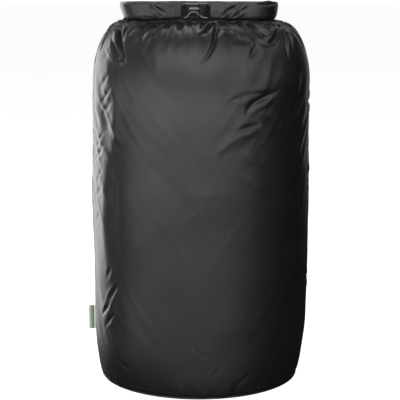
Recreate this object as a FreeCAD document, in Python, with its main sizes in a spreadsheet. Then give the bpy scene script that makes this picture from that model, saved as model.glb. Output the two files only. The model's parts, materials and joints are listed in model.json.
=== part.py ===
import FreeCAD, Part
import math
import os
import Sketcher

# Roll-top dry bag, stuffed full and clipped shut, standing on its round base.
# Millimetres. +Z up, -Y the front with the buckle, origin on the floor under the body's axis.
#
# The mouth is pressed flat, rolled down, and the roll's two ends are folded to the front and
# clipped together, so the roll makes a closed ring: a back run, two end bends and two front arms.

doc = FreeCAD.newDocument("dry_bag")

# ---------------------------------------------------------------- driving dimensions
drivingSizes = {
    # body
    "bagRadius": 200.0,          # stuffed body at the ends of its straight stretch
    "bellyRadius": 201.5,        # fullest place, half way up
    "baseRadius": 183.5,         # circle of the base seam
    "baseCurve": 130.0,          # height over which the side rounds in to the base
    "bellyLevel": 340.0,
    "sideShoulder": 545.0,       # where the sides start to round over, seen from the front
    "frontShoulder": 480.0,      # where front and back start to slope in to the roll
    "bodyTop": 660.0,            # flat under the roll
    "topHalfWidth": 149.0,
    "topHalfDepth": 66.0,
    "fabric": 1.2,               # coated cloth with its seam allowances, as one wall
    "panelThick": 1.2,
    # seams and tapes
    "seamHigh": 4.5,
    "seamDepth": 4.5,
    "seamProud": 0.8,
    "seamWidth": 8.0,
    "tapeThick": 0.4,
    "tapeWidth": 22.0,
    "tapeInset": 0.5,            # the base tape stops this far short of the seam's circle
    "sideSeamLow": 12.0,
    "sideSeamHigh": 632.0,
    # the roll
    "rollLevel": 664.5,
    "rollHigh": 32.5,
    "rollThick": 20.0,
    "rollEdge": 7.5,
    "bendRadius": 50.0,
    "leftBend": -91.5,
    "rightBend": 83.5,
    "neckThick": 4.0,
    "stripHigh": 25.0,
    "stripThick": 1.6,
    "stripRoom": 0.2,
    # the front arms and the clip
    "clipCentre": -9.0,
    "clipLevel": 681.0,
    "armReach": 88.0,            # from the clip's centre to the hinge at each arm's root
    "armGap": 0.4,
    "armLength": 60.0,
    "armLift": 0.5,
    "tabSlotDeep": 12.0,
    "tabHigh": 20.0,
    "tabThick": 2.8,
    "loopInner": 2.1,
    "loopOuter": 3.6,
    "loopGap": 0.5,              # between the strap's end and the inside of its loop
    "stitchWide": 0.8,
    "stitchProud": 0.5,
    "stitchPitch": 3.0,
    "stitchInset": 1.0,          # from the webbing's edges to the ends of a row of thread
    "barReach": 20.0,            # from the clip's centre to each webbing bar
    "barRadius": 1.8,
    "clipHalfLong": 22.0,
    "clipHigh": 27.6,
    "clipThick": 9.0,
    "railHigh": 3.5,
    "slotInner": 14.0,
    "mouthEnd": 6.0,
    "plugStart": 6.4,
    "cavityHigh": 22.6,
    "cavityThick": 5.8,
    "cavityDeep": 17.5,
    "windowLong": 15.0,
    "windowTop": 11.0,
    "windowDeep": 7.8,
    "windowCentre": -4.5,
    "guideHigh": 5.0,
    "guideThick": 5.0,
    "guideEnd": -9.0,
    "prongPivot": 8.2,
    "prongLevel": 9.7,
    "prongThick": 5.0,
    "prongHalf": 1.2,
    "prongRoot": 1.5,
    "prongRoom": 0.08,
    "prongTip": -10.0,
    "seatRoom": 0.6,             # between a prong's two faces and its seat in the plug
    "wayOutside": 0.5,           # room outside and inside each prong, where it passes into the plug
    "wayInside": 0.1,
    "clipEdge": 1.0,
    # the woven label in the left side seam
    "labelLevel": 103.5,
    "labelHigh": 45.0,
    "labelOut": 12.0,
    "labelThick": 1.0,
    "labelGap": 1.6,
    "labelStitchHalf": 3.0,      # from the seam's middle to the first row of thread
    "labelStitchPitch": 5.0,
    "labelStitchProud": 0.4,
    "labelStitchDeep": 3.0,      # from the thread's outer face in to the curved seam, which trims it
    "labelStitchWide": 1.0,
}

dims = doc.addObject("Spreadsheet::Sheet", "dims")
for row, (alias, value) in enumerate(drivingSizes.items(), start=1):
    dims.set("A%d" % row, alias)
    dims.set("B%d" % row, str(value))
    dims.setAlias("B%d" % row, alias)
doc.recompute()

subParts = []


# ---------------------------------------------------------------- helpers
def bind(thing, **sizes):
    """Ties properties to formulas over the sheet; a double underscore stands for a dot."""
    for name, formula in sizes.items():
        thing.setExpression("." + name.replace("__", "."), formula)


def place(thing, x="0", y="0", z="0", turn=None):
    bind(thing, Placement__Base__x=x, Placement__Base__y=y, Placement__Base__z=z)
    if turn is not None:
        thing.Placement.Rotation = FreeCAD.Rotation(FreeCAD.Vector(0, 0, 1), 0)
        bind(thing, Placement__Rotation__Angle=turn)


def keep(thing, label):
    thing.Label = label
    subParts.append(thing)
    return thing


def numberOf(formula):
    answer = dims.evalExpression(formula)
    return float(getattr(answer, "Value", answer))


def box(name, x, y, z, long, wide, high):
    solid = doc.addObject("Part::Box", name)
    bind(solid, Length=long, Width=wide, Height=high)
    place(solid, x, y, z)
    return solid


def post(name, radius, x, y, z, high, sweep=None):
    """A cylinder from (x, y, z) along +Z, or a slice of one that spans the angle sweep."""
    solid = doc.addObject("Part::Cylinder", name)
    bind(solid, Radius=radius, Height=high)
    if sweep:
        bind(solid, Angle=sweep)
    place(solid, x, y, z)
    return solid


def cut(name, base, tool):
    result = doc.addObject("Part::Cut", name)
    result.Base, result.Tool = base, tool
    return result


def common(name, base, tool):
    result = doc.addObject("Part::Common", name)
    result.Base, result.Tool = base, tool
    return result


def fuse(name, *solids):
    result = doc.addObject("Part::MultiFuse", name)
    result.Shapes = list(solids)
    return result


def newBody(name):
    return doc.addObject("PartDesign::Body", name)


def sketchOn(body, role, name):
    plane = [item for item in body.Origin.OriginFeatures if item.Role == role][0]
    sketch = body.newObject("Sketcher::SketchObject", name)
    sketch.AttachmentSupport = (plane, "")
    sketch.MapMode = "FlatFace"
    return sketch


def outline(sketch, corners):
    """A closed polygon whose corners are pairs of formulas, each tied to the sheet."""
    first = sketch.GeometryCount
    spots = [FreeCAD.Vector(numberOf(x), numberOf(y), 0) for x, y in corners]
    count = len(spots)
    for index in range(count):
        sketch.addGeometry(Part.LineSegment(spots[index], spots[(index + 1) % count]))
    for index in range(count):
        following = first + (index + 1) % count
        sketch.addConstraint(Sketcher.Constraint("Coincident", first + index, 2, following, 1))
    for index, (x, y) in enumerate(corners):
        for kind, formula, length in (("DistanceX", x, spots[index].x), ("DistanceY", y, spots[index].y)):
            line = first + index
            number = sketch.addConstraint(Sketcher.Constraint(kind, -1, 1, line, 1, length))
            sketch.setExpression("Constraints[%d]" % number, formula)


def rectangle(sketch, left, right, low, high):
    outline(sketch, [(left, low), (right, low), (right, high), (left, high)])


def pad(body, sketch, name, length, middle=False):
    feature = body.newObject("PartDesign::Pad", name)
    feature.Profile = sketch
    feature.Midplane = middle
    bind(feature, Length=length)
    return feature


def roundEdges(body, feature, name, radius, wanted):
    """Fillets the edges for which wanted(edge) is true."""
    doc.recompute()
    names = ["Edge%d" % (n + 1) for n, edge in enumerate(feature.Shape.Edges) if wanted(edge)]
    fillet = body.newObject("PartDesign::Fillet", name)
    fillet.Base = (feature, names)
    bind(fillet, Radius=radius)
    return fillet


# ---------------------------------------------------------------- the stuffed body
def bagLoft(name, grow):
    """The filled body as one loft of ellipses, grown outwards all round by the formula grow."""
    sections = []

    def section(level, halfWidth, halfDepth):
        ring = doc.addObject("Part::Ellipse", "%s_%d" % (name, len(sections)))
        bind(ring, MajorRadius="%s + %s" % (halfWidth, grow), MinorRadius="%s + %s" % (halfDepth, grow))
        place(ring, z=level)
        sections.append(ring)

    for turn in (0, 25, 50, 90):
        radius = "dims.baseRadius + (dims.bagRadius - dims.baseRadius) * sin(%d)" % turn
        section("dims.baseCurve * (1 - cos(%d))" % turn, radius, radius)
    section("dims.bellyLevel", "dims.bellyRadius", "dims.bellyRadius")
    for turn in (-25, 0, 22, 40, 54, 66, 78, 90):
        level = "dims.sideShoulder + (dims.bodyTop + %s - dims.sideShoulder) * sin(%d)" % (grow, turn)
        climb = numberOf(level.replace(grow, "0")) - drivingSizes["frontShoulder"]
        slope = climb / (drivingSizes["bodyTop"] - drivingSizes["frontShoulder"])
        lean = math.degrees(math.asin(min(1.0, max(0.0, slope))))
        width = "dims.topHalfWidth + (dims.bagRadius - dims.topHalfWidth) * cos(%d)" % max(turn, 0)
        depth = "dims.topHalfDepth + (dims.bagRadius - dims.topHalfDepth) * cos(%.3f)" % lean
        section(level, width, depth)
    loft = doc.addObject("Part::Loft", name)
    loft.Sections = sections
    loft.Solid = True
    loft.Ruled = False
    return loft


outerForm = bagLoft("outer_form", "0")
innerForm = bagLoft("inner_form", "-1 * dims.fabric")
hollow = cut("body_hollow", outerForm, innerForm)
span = "3 * dims.bagRadius"
wallSlice = box("wall_slice", span + " / -2", span + " / -2", "dims.panelThick", span, span, "dims.rollLevel")
keep(common("body_wall", hollow, wallSlice), "body_fabric")
panelSlice = box("panel_slice", span + " / -2", span + " / -2", "0", span, span, "dims.panelThick")
keep(common("base_disc", outerForm, panelSlice), "base_panel")


def ringSolid(name, inner, outer, low, high):
    body = newBody(name)
    sketch = sketchOn(body, "XZ_Plane", name + "_section")
    rectangle(sketch, inner, outer, low, high)
    turned = body.newObject("PartDesign::Revolution", name + "_turned")
    turned.Profile = sketch
    turned.ReferenceAxis = (sketch, ["V_Axis"])
    turned.Angle = 360
    return body


# The base seam is a bead of turned-out cloth in the corner under the side's curve.
seamRing = ringSolid("seam_ring", "dims.baseRadius - dims.seamDepth", "dims.baseRadius + dims.seamDepth",
                     "0", "dims.seamHigh")
keep(cut("seam_bead", seamRing, outerForm), "base_seam")
keep(ringSolid("tape_ring", "dims.baseRadius - dims.tapeWidth", "dims.baseRadius - dims.tapeInset",
               "dims.panelThick", "dims.panelThick + dims.tapeThick"), "base_seam_tape")


def seamStrip(label, outside, inside, width):
    """A narrow strip up the left side, between two grown forms of the body."""
    skin = cut(label + "_skin", outside, inside)
    slab = box(label + "_slab", "-1.5 * dims.bagRadius", "%s / -2" % width, "dims.sideSeamLow",
               "dims.bagRadius", width, "dims.sideSeamHigh - dims.sideSeamLow")
    keep(common(label + "_strip", skin, slab), label)


proudForm = bagLoft("proud_form", "dims.seamProud")
seamStrip("side_seam", proudForm, outerForm, "dims.seamWidth")
seamStrip("side_seam_tape", innerForm, bagLoft("tape_form", "-1 * dims.fabric - dims.tapeThick"),
          "dims.tapeWidth")

# ---------------------------------------------------------------- the roll, back and bends
rollInner = "dims.bendRadius - dims.rollThick / 2"
rollOuter = "dims.bendRadius + dims.rollThick / 2"
channelHalf = "(dims.stripThick / 2 + dims.stripRoom)"
channelLow = "(dims.rollHigh - dims.stripHigh) / 2 - dims.stripRoom"
channelHigh = "(dims.rollHigh + dims.stripHigh) / 2 + dims.stripRoom"


def atRim(edge):
    """The long outer edges of a run of the roll, at its top and bottom."""
    levels = [vertex.Point.z for vertex in edge.Vertexes]
    flat = max(levels) - min(levels) < 1e-6
    rim = min(abs(levels[0]), abs(levels[0] - drivingSizes["rollHigh"])) < 1e-6
    return flat and rim and edge.Length > 1.5 * drivingSizes["rollThick"]


def rollBack():
    body = newBody("roll_back")
    sketch = sketchOn(body, "YZ_Plane", "roll_back_section")
    rectangle(sketch, rollInner, rollOuter, "0", "dims.rollHigh")
    rectangle(sketch, "dims.bendRadius - " + channelHalf, "dims.bendRadius + " + channelHalf,
              channelLow, channelHigh)
    run = pad(body, sketch, "roll_back_run", "dims.rightBend - dims.leftBend")
    roundEdges(body, run, "roll_back_edges", "dims.rollEdge", atRim)
    place(body, "dims.leftBend", "0", "dims.rollLevel")
    keep(body, "roll_back")
    keep(box("strip_back", "dims.leftBend", "dims.bendRadius - dims.stripThick / 2",
             "dims.rollLevel + (dims.rollHigh - dims.stripHigh) / 2",
             "dims.rightBend - dims.leftBend", "dims.stripThick", "dims.stripHigh"), "mouth_strip_back")


# Each bend stops short of the arm's round root, so its sweep depends on where the hinge lies.
hingeClear = "asin((dims.rollThick / 2 + dims.armGap) / dims.bendRadius)"
sweeps = {
    "left": "180 deg - %s - atan((dims.leftBend - dims.clipCentre + dims.armReach) / dims.bendRadius)"
            % hingeClear,
    "right": "180 deg - %s + atan((dims.rightBend - dims.clipCentre - dims.armReach) / dims.bendRadius)"
             % hingeClear,
}
starts = {"left": "90 deg", "right": "90 deg - (%s)" % sweeps["right"]}


def arcWall(name, side, thick, low, high):
    """An upright wall that follows a bend's centre line."""
    centre = "dims.%sBend" % side
    outer = post(name + "_outer", "dims.bendRadius + %s" % thick, centre, "0", low, high, sweep=sweeps[side])
    inner = post(name + "_inner", "dims.bendRadius - %s" % thick, centre, "0", low, high, sweep=sweeps[side])
    for solid in (outer, inner):
        place(solid, centre, "0", low, turn=starts[side])
    return cut(name, outer, inner)


def rollBend(side):
    label = "roll_bend_" + side
    body = newBody(label)
    sketch = sketchOn(body, "XZ_Plane", label + "_section")
    rectangle(sketch, rollInner, rollOuter, "0", "dims.rollHigh")
    rectangle(sketch, "dims.bendRadius - " + channelHalf, "dims.bendRadius + " + channelHalf,
              channelLow, channelHigh)
    turned = body.newObject("PartDesign::Revolution", label + "_turned")
    turned.Profile = sketch
    turned.ReferenceAxis = (sketch, ["V_Axis"])
    bind(turned, Angle=sweeps[side])
    roundEdges(body, turned, label + "_edges", "dims.rollEdge", atRim)
    place(body, "dims.%sBend" % side, "0", "dims.rollLevel", turn=starts[side])
    keep(body, label)
    keep(arcWall("strip_bend_" + side, side, "dims.stripThick / 2",
                 "dims.rollLevel + (dims.rollHigh - dims.stripHigh) / 2", "dims.stripHigh"),
         "mouth_strip_bend_" + side)


rollBack()
for side in ("left", "right"):
    rollBend(side)

neckBack = box("neck_back", "dims.leftBend", "dims.bendRadius - dims.neckThick / 2", "dims.bodyTop",
               "dims.rightBend - dims.leftBend", "dims.neckThick", "dims.rollLevel - dims.bodyTop")
neckEnds = [arcWall("neck_" + side, side, "dims.neckThick / 2", "dims.bodyTop",
                    "dims.rollLevel - dims.bodyTop") for side in ("left", "right")]
keep(fuse("neck", neckBack, *neckEnds), "neck_fabric")

# ---------------------------------------------------------------- the front arms
hingeX = {"left": "dims.clipCentre - dims.armReach", "right": "dims.clipCentre + dims.armReach"}
facing = {"left": "0 deg", "right": "180 deg"}
armHigh = "(dims.rollHigh - dims.armLift)"


def atArmRim(edge):
    levels = [vertex.Point.z for vertex in edge.Vertexes]
    return max(levels) - min(levels) < 1e-6


def armBody(label):
    """The arm from its round root at the hinge to its square end, lying along +X."""
    body = newBody(label)
    sketch = sketchOn(body, "XY_Plane", label + "_plan")
    half = drivingSizes["rollThick"] / 2
    long = drivingSizes["armLength"]
    corners = [FreeCAD.Vector(x, y, 0) for x, y in ((0, -half), (long, -half), (long, half), (0, half))]
    for index in range(3):
        sketch.addGeometry(Part.LineSegment(corners[index], corners[index + 1]))
    circle = Part.Circle(FreeCAD.Vector(0, 0, 0), FreeCAD.Vector(0, 0, 1), half)
    sketch.addGeometry(Part.ArcOfCircle(circle, math.pi / 2, 3 * math.pi / 2))
    for kind in (("Coincident", 0, 2, 1, 1), ("Coincident", 1, 2, 2, 1), ("Coincident", 3, 3, -1, 1),
                 ("Coincident", 2, 2, 3, 1), ("Coincident", 3, 2, 0, 1), ("Horizontal", 0),
                 ("Vertical", 1), ("Horizontal", 2), ("PointOnObject", 3, 1, -2),
                 ("PointOnObject", 3, 2, -2)):
        sketch.addConstraint(Sketcher.Constraint(*kind))
    radius = sketch.addConstraint(Sketcher.Constraint("Radius", 3, half))
    sketch.setExpression("Constraints[%d]" % radius, "dims.rollThick / 2")
    reach = sketch.addConstraint(Sketcher.Constraint("DistanceX", -1, 1, 1, 1, long))
    sketch.setExpression("Constraints[%d]" % reach, "dims.armLength")
    run = pad(body, sketch, label + "_run", armHigh)
    roundEdges(body, run, label + "_edges", "dims.rollEdge - 1", atArmRim)
    return body


def channel(body, name, start, long, thick, high):
    """A flat channel inside the arm for the stiff strip or the webbing."""
    room = body.newObject("PartDesign::SubtractiveBox", name)
    room.MapMode = "Deactivated"
    bind(room, Length=long, Width=thick, Height=high)
    place(room, start, "%s / -2" % thick, "(%s - %s) / 2" % (armHigh, high))


def frontArm(side):
    label = "roll_arm_" + side
    body = armBody(label)
    stripLong = "dims.armLength - dims.tabSlotDeep - dims.rollThick / 2"
    channel(body, label + "_strip_room", "dims.rollThick / 2", stripLong,
            "(dims.stripThick + 2 * dims.stripRoom)", "(dims.stripHigh + 2 * dims.stripRoom)")
    channel(body, label + "_tab_room", "dims.armLength - dims.tabSlotDeep", "dims.tabSlotDeep + 1",
            "(dims.tabThick + 2 * dims.stripRoom)", "(dims.tabHigh + 2 * dims.stripRoom)")
    place(body, hingeX[side], "-1 * dims.bendRadius", "dims.rollLevel + dims.armLift", turn=facing[side])
    keep(body, label)

    way = "1" if side == "left" else "-1"
    strip = doc.addObject("Part::Box", "strip_" + side)
    bind(strip, Length=stripLong + " - dims.stripRoom", Width="dims.stripThick", Height="dims.stripHigh")
    place(strip, "%s + %s * dims.rollThick / 2" % (hingeX[side], way),
          "-1 * dims.bendRadius - %s * dims.stripThick / 2" % way,
          "dims.rollLevel + dims.armLift + (%s - dims.stripHigh) / 2" % armHigh, turn=facing[side])
    keep(strip, "mouth_strip_" + side)

    # The webbing: a doubled strap in the arm's end, looped round the clip's bar.
    barX = "dims.clipCentre - %s * dims.barReach" % way
    tabLow = "dims.clipLevel - dims.tabHigh / 2"
    loops = [post("loop_%s_%s" % (skin, side), "dims.loop" + skin.title(), barX, "-1 * dims.bendRadius",
                  tabLow, "dims.tabHigh") for skin in ("outer", "inner")]
    ring = cut("loop_ring_" + side, *loops)
    strap = doc.addObject("Part::Box", "strap_" + side)
    strapLong = ("dims.armReach - dims.barReach - dims.armLength + dims.tabSlotDeep"
                 " - dims.stripRoom - dims.loopInner - dims.loopGap")
    bind(strap, Length=strapLong, Width="dims.tabThick", Height="dims.tabHigh")
    place(strap, "%s + %s * (dims.armLength - dims.tabSlotDeep + dims.stripRoom)" % (hingeX[side], way),
          "-1 * dims.bendRadius - %s * dims.tabThick / 2" % way, tabLow, turn=facing[side])
    keep(fuse("tab_" + side, ring, strap), "webbing_tab_" + side)

    # Stitches: three short upright rows of thread through the arm's end, on its front face.
    rows = []
    for row in range(3):
        inset = "(dims.armLength - %d * dims.stitchPitch)" % (row + 1)
        stitch = "%s + %s * %s - dims.stitchWide / 2" % (hingeX[side], way, inset)
        rows.append(box("stitch_%s_%d" % (side, row), stitch,
                        "-1 * dims.bendRadius - dims.rollThick / 2 - dims.stitchProud",
                        tabLow + " + dims.stitchInset", "dims.stitchWide", "dims.stitchProud",
                        "dims.tabHigh - 2 * dims.stitchInset"))
    group = doc.addObject("Part::Compound", "stitches_" + side)
    group.Links = rows
    keep(group, "bartack_" + side)


for side in ("left", "right"):
    frontArm(side)


# ---------------------------------------------------------------- the side-release clip
def clipBlank(label, low, high):
    """A flat bar of clip, seen from the front, with rounded outer edges."""
    body = newBody(label)
    sketch = sketchOn(body, "XZ_Plane", label + "_front")
    rectangle(sketch, low, high, "dims.clipHigh / -2", "dims.clipHigh / 2")
    blank = pad(body, sketch, label + "_blank", "dims.clipThick", middle=True)
    roundEdges(body, blank, label + "_edges", "dims.clipEdge", lambda edge: True)
    return body


def hole(body, name, kind, x, y, z, **sizes):
    """A box or cylinder added to or taken from the body, placed in the body's own frame."""
    feature = body.newObject(kind, name)
    feature.MapMode = "Deactivated"
    bind(feature, **sizes)
    place(feature, x, y, z)
    return feature


def webbingBar(body, label, way):
    """Opens the strap's slot at the outer end and leaves a round bar across it."""
    inside = "(dims.clipHigh - 2 * dims.railHigh)"
    left = "-1 * dims.clipHalfLong - 1" if way == "-1" else "dims.slotInner"
    hole(body, label + "_slot", "PartDesign::SubtractiveBox", left, "-1 * dims.clipThick",
         inside + " / -2", Length="dims.clipHalfLong + 1 - dims.slotInner", Width="2 * dims.clipThick",
         Height=inside)
    hole(body, label + "_bar", "PartDesign::AdditiveCylinder", way + " * dims.barReach", "0",
         inside + " / -2 - 1", Radius="dims.barRadius", Height=inside + " + 2")


def buckleSocket():
    body = clipBlank("buckle_socket", "-1 * dims.clipHalfLong", "dims.mouthEnd")
    webbingBar(body, "socket", "-1")
    hole(body, "socket_cavity", "PartDesign::SubtractiveBox", "dims.mouthEnd - dims.cavityDeep",
         "dims.cavityThick / -2", "dims.cavityHigh / -2", Length="dims.cavityDeep + 1",
         Width="dims.cavityThick", Height="dims.cavityHigh")
    for name, way in (("upper", "1"), ("lower", "-1")):
        sketch = sketchOn(body, "XZ_Plane", "window_" + name)
        edge = way + " * (dims.clipHigh / 2 + 1)"
        top = way + " * (dims.clipHigh / 2 - dims.windowDeep)"
        outline(sketch, [("dims.windowCentre - dims.windowLong / 2", edge),
                         ("dims.windowCentre - dims.windowTop / 2", top),
                         ("dims.windowCentre + dims.windowTop / 2", top),
                         ("dims.windowCentre + dims.windowLong / 2", edge)])
        arch = body.newObject("PartDesign::Pocket", "arch_" + name)
        arch.Profile = sketch
        arch.Midplane = True
        bind(arch, Length="2 * dims.clipThick")
    place(body, "dims.clipCentre", "-1 * dims.bendRadius", "dims.clipLevel")
    keep(body, "buckle_socket")


def bucklePlug():
    body = clipBlank("buckle_plug", "dims.plugStart", "dims.clipHalfLong")
    webbingBar(body, "plug", "1")
    hole(body, "centre_guide", "PartDesign::AdditiveBox", "dims.guideEnd", "dims.guideThick / -2",
         "dims.guideHigh / -2", Length="dims.plugStart - dims.guideEnd + 1", Width="dims.guideThick",
         Height="dims.guideHigh")
    seat = "dims.prongThick + dims.seatRoom"
    for name, way in (("upper", "1"), ("lower", "-1")):
        level = way + " * dims.prongLevel"
        socketHole = hole(body, "root_seat_" + name, "PartDesign::SubtractiveCylinder", "dims.prongPivot",
                          "(%s) / -2" % seat, level, Radius="dims.prongRoot + dims.prongRoom", Height=seat)
        socketHole.Placement.Rotation = FreeCAD.Rotation(FreeCAD.Vector(1, 0, 0), -90)
        swing = "(2 * dims.prongHalf + dims.wayOutside + dims.wayInside)"
        under = "dims.wayOutside" if way == "1" else "dims.wayInside"
        low = "%s - dims.prongHalf - %s" % (level, under)
        hole(body, "root_way_" + name, "PartDesign::SubtractiveBox", "dims.plugStart - 1",
             "(%s) / -2" % seat, low, Length="dims.prongPivot - dims.plugStart + 1", Width=seat, Height=swing)
    place(body, "dims.clipCentre", "-1 * dims.bendRadius", "dims.clipLevel")
    keep(body, "buckle_plug")


# A prong's side view from its root to its tip: distance along the clip from its centre, and
# height above the prong's own middle line. The pad swells behind the socket's inner wall.
prongOuter = (("2", "dims.prongHalf"), ("0.8", "dims.prongHalf + 0.5"), ("-1", "dims.prongHalf + 0.9"),
              ("-4", "dims.prongHalf + 1.55"), ("-7.5", "dims.prongHalf + 2.1"),
              ("-9.2", "dims.prongHalf + 1.4"), ("dims.prongTip", "dims.prongHalf"))


def buckleProng(name, way):
    body = newBody("buckle_prong_" + name)
    sketch = sketchOn(body, "XZ_Plane", "prong_%s_side" % name)
    corners = [("dims.prongPivot", way + " * (dims.prongLevel - dims.prongHalf)"),
               ("dims.prongPivot", way + " * (dims.prongLevel + dims.prongHalf)")]
    corners += [(along, "%s * (dims.prongLevel + %s)" % (way, rise)) for along, rise in prongOuter]
    corners.append(("dims.prongTip", way + " * (dims.prongLevel - dims.prongHalf)"))
    outline(sketch, corners)
    pad(body, sketch, "prong_%s_shank" % name, "dims.prongThick", middle=True)
    root = hole(body, "prong_%s_root" % name, "PartDesign::AdditiveCylinder", "dims.prongPivot",
                "dims.prongThick / -2", way + " * dims.prongLevel", Radius="dims.prongRoot",
                Height="dims.prongThick")
    root.Placement.Rotation = FreeCAD.Rotation(FreeCAD.Vector(1, 0, 0), -90)
    place(body, "dims.clipCentre", "-1 * dims.bendRadius", "dims.clipLevel")
    keep(body, "buckle_prong_" + name)


buckleSocket()
bucklePlug()
buckleProng("upper", "1")
buckleProng("lower", "-1")


# ---------------------------------------------------------------- the woven label
def wovenLabel():
    """A folded tag that stands out of the side seam, with a round root at its hinge."""
    rootX = "-1 * dims.bagRadius - dims.seamProud - dims.labelGap - dims.labelThick / 2"
    low = "dims.labelLevel - dims.labelHigh / 2"
    tag = box("tag", "%s - dims.labelOut" % rootX, "dims.labelThick / -2", low,
              "dims.labelOut", "dims.labelThick", "dims.labelHigh")
    root = post("tag_root", "dims.labelThick / 2", rootX, "0", low, "dims.labelHigh")
    keep(fuse("tag_whole", tag, root), "woven_label")
    rows = [box("label_stitch_%d" % row, "-1 * dims.bagRadius - dims.seamProud - dims.labelStitchProud",
                "%d * dims.labelStitchPitch - dims.labelStitchHalf" % row, low + " + dims.stitchInset",
                "dims.labelStitchDeep", "dims.labelStitchWide",
                "dims.labelHigh - 2 * dims.stitchInset") for row in range(2)]
    threads = doc.addObject("Part::Compound", "label_threads")
    threads.Links = rows
    keep(cut("label_threads_clear", threads, proudForm), "label_stitches")


wovenLabel()

# ---------------------------------------------------------------- check and write
doc.recompute()
for thing in doc.Objects:
    state = [word for word in thing.State if word in ("Invalid", "Error")]
    if state:
        raise RuntimeError("%s (%s) is %s" % (thing.Name, thing.Label, state))
os.makedirs("parts", exist_ok=True)
for piece in subParts:
    shape = piece.Shape
    if shape.isNull() or not shape.isValid() or not shape.Solids:
        raise RuntimeError("%s has no valid solid" % piece.Label)
    shape.exportStep("parts/%s.step" % piece.Label)
    print("%-24s %2d solid  %10.1f mm3  z %.1f to %.1f" % (
        piece.Label, len(shape.Solids), shape.Volume, shape.BoundBox.ZMin, shape.BoundBox.ZMax))
print(len(subParts), "sub-parts")
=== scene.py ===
import bpy
import bmesh
import json
import math
import numpy as np
from mathutils import Vector, Matrix, noise


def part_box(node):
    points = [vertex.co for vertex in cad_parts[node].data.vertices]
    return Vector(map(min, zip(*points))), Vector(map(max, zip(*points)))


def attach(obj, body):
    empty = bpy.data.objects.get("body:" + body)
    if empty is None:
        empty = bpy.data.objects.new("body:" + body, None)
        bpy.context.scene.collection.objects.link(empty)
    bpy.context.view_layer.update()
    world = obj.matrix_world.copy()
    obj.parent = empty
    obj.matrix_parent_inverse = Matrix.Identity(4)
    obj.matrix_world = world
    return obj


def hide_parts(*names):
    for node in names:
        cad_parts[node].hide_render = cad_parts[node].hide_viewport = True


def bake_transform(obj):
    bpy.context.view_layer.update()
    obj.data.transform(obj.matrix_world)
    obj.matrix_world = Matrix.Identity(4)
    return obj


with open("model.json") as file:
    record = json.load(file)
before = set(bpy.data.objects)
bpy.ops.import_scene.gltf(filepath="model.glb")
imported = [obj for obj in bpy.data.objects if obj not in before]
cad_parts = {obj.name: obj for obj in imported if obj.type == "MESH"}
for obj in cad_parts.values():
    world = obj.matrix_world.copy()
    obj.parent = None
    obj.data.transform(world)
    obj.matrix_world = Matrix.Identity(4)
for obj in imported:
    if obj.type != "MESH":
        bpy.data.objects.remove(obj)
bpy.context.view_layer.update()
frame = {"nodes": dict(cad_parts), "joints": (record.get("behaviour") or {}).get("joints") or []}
nodes = frame["nodes"]
print("frame loaded:", len(nodes), "nodes")

# places read from the frame
_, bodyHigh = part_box("body_fabric")
leftEnd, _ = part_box("roll_bend_left")
_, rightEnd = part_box("roll_bend_right")
socketLow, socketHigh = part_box("buckle_socket")
_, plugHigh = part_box("buckle_plug")
jointPlace = {joint["name"]: Vector(joint["pos_m"]) for joint in frame["joints"]}
armHinge = jointPlace["closure_swing"]
clipCentre = Vector(((socketLow.x + plugHigh.x) / 2, armHinge.y, armHinge.z))
clipThick = socketHigh.y - socketLow.y


def newPiece(name, bm, material, smooth=True, recalc=True):
    # turns a bmesh into a finished object at the origin
    if recalc:
        bmesh.ops.recalc_face_normals(bm, faces=bm.faces)
    mesh = bpy.data.meshes.new(name)
    bm.to_mesh(mesh)
    bm.free()
    for polygon in mesh.polygons:
        polygon.use_smooth = smooth
    piece = bpy.data.objects.new(name, mesh)
    bpy.context.scene.collection.objects.link(piece)
    piece.data.materials.append(material)
    return piece


def placePiece(piece, body, slot, *standsFor):
    # hides the nodes that the piece stands for and hangs it on the body that carries it
    if standsFor:
        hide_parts(*standsFor)
    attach(piece, body)


def readPoints(piece):
    points = np.empty(len(piece.data.vertices) * 3)
    piece.data.vertices.foreach_get("co", points)
    return points.reshape(-1, 3)


def writePoints(piece, points):
    piece.data.vertices.foreach_set("co", np.ascontiguousarray(points, dtype=np.float64).ravel())
    piece.data.update()


def readNormals(piece):
    normals = np.empty(len(piece.data.vertices) * 3)
    piece.data.vertices.foreach_get("normal", normals)
    return normals.reshape(-1, 3)


def applyModifiers(piece):
    graph = bpy.context.evaluated_depsgraph_get()
    mesh = bpy.data.meshes.new_from_object(piece.evaluated_get(graph))
    old = piece.data
    piece.modifiers.clear()
    piece.data = mesh
    bpy.data.meshes.remove(old)


def bevelEdges(bm, width, segments=3, sharperThan=0.5):
    edges = [e for e in bm.edges if e.is_manifold and e.calc_face_angle(0) > sharperThan]
    bmesh.ops.bevel(bm, geom=edges, offset=width, offset_type="OFFSET", segments=segments, profile=0.5,
                    affect="EDGES", material=-1, clamp_overlap=True)


def boxMesh(bm, low, high):
    made = bmesh.ops.create_cube(bm, size=1.0)["verts"]
    low, high = Vector(low), Vector(high)
    bmesh.ops.scale(bm, verts=made, vec=high - low)
    bmesh.ops.translate(bm, verts=made, vec=(low + high) / 2)
    return made


def shaderNodes(name):
    material = bpy.data.materials.new(name)
    material.use_nodes = True
    tree = material.node_tree
    shader = tree.nodes["Principled BSDF"]
    return material, tree, shader


def link(tree, fromSocket, toSocket):
    tree.links.new(fromSocket, toSocket)


def addNode(tree, kind, **inputs):
    node = tree.nodes.new(kind)
    for key, value in inputs.items():
        node.inputs[key.replace("_", " ")].default_value = value
    return node


def pattern(tree, kind, **inputs):
    # a texture laid through the piece on its own coordinates
    where = tree.nodes.get("where")
    if where is None:
        where = tree.nodes.new("ShaderNodeTexCoord")
        where.name = "where"
    node = addNode(tree, kind, **inputs)
    link(tree, where.outputs["Object"], node.inputs["Vector"])
    return node


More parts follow.
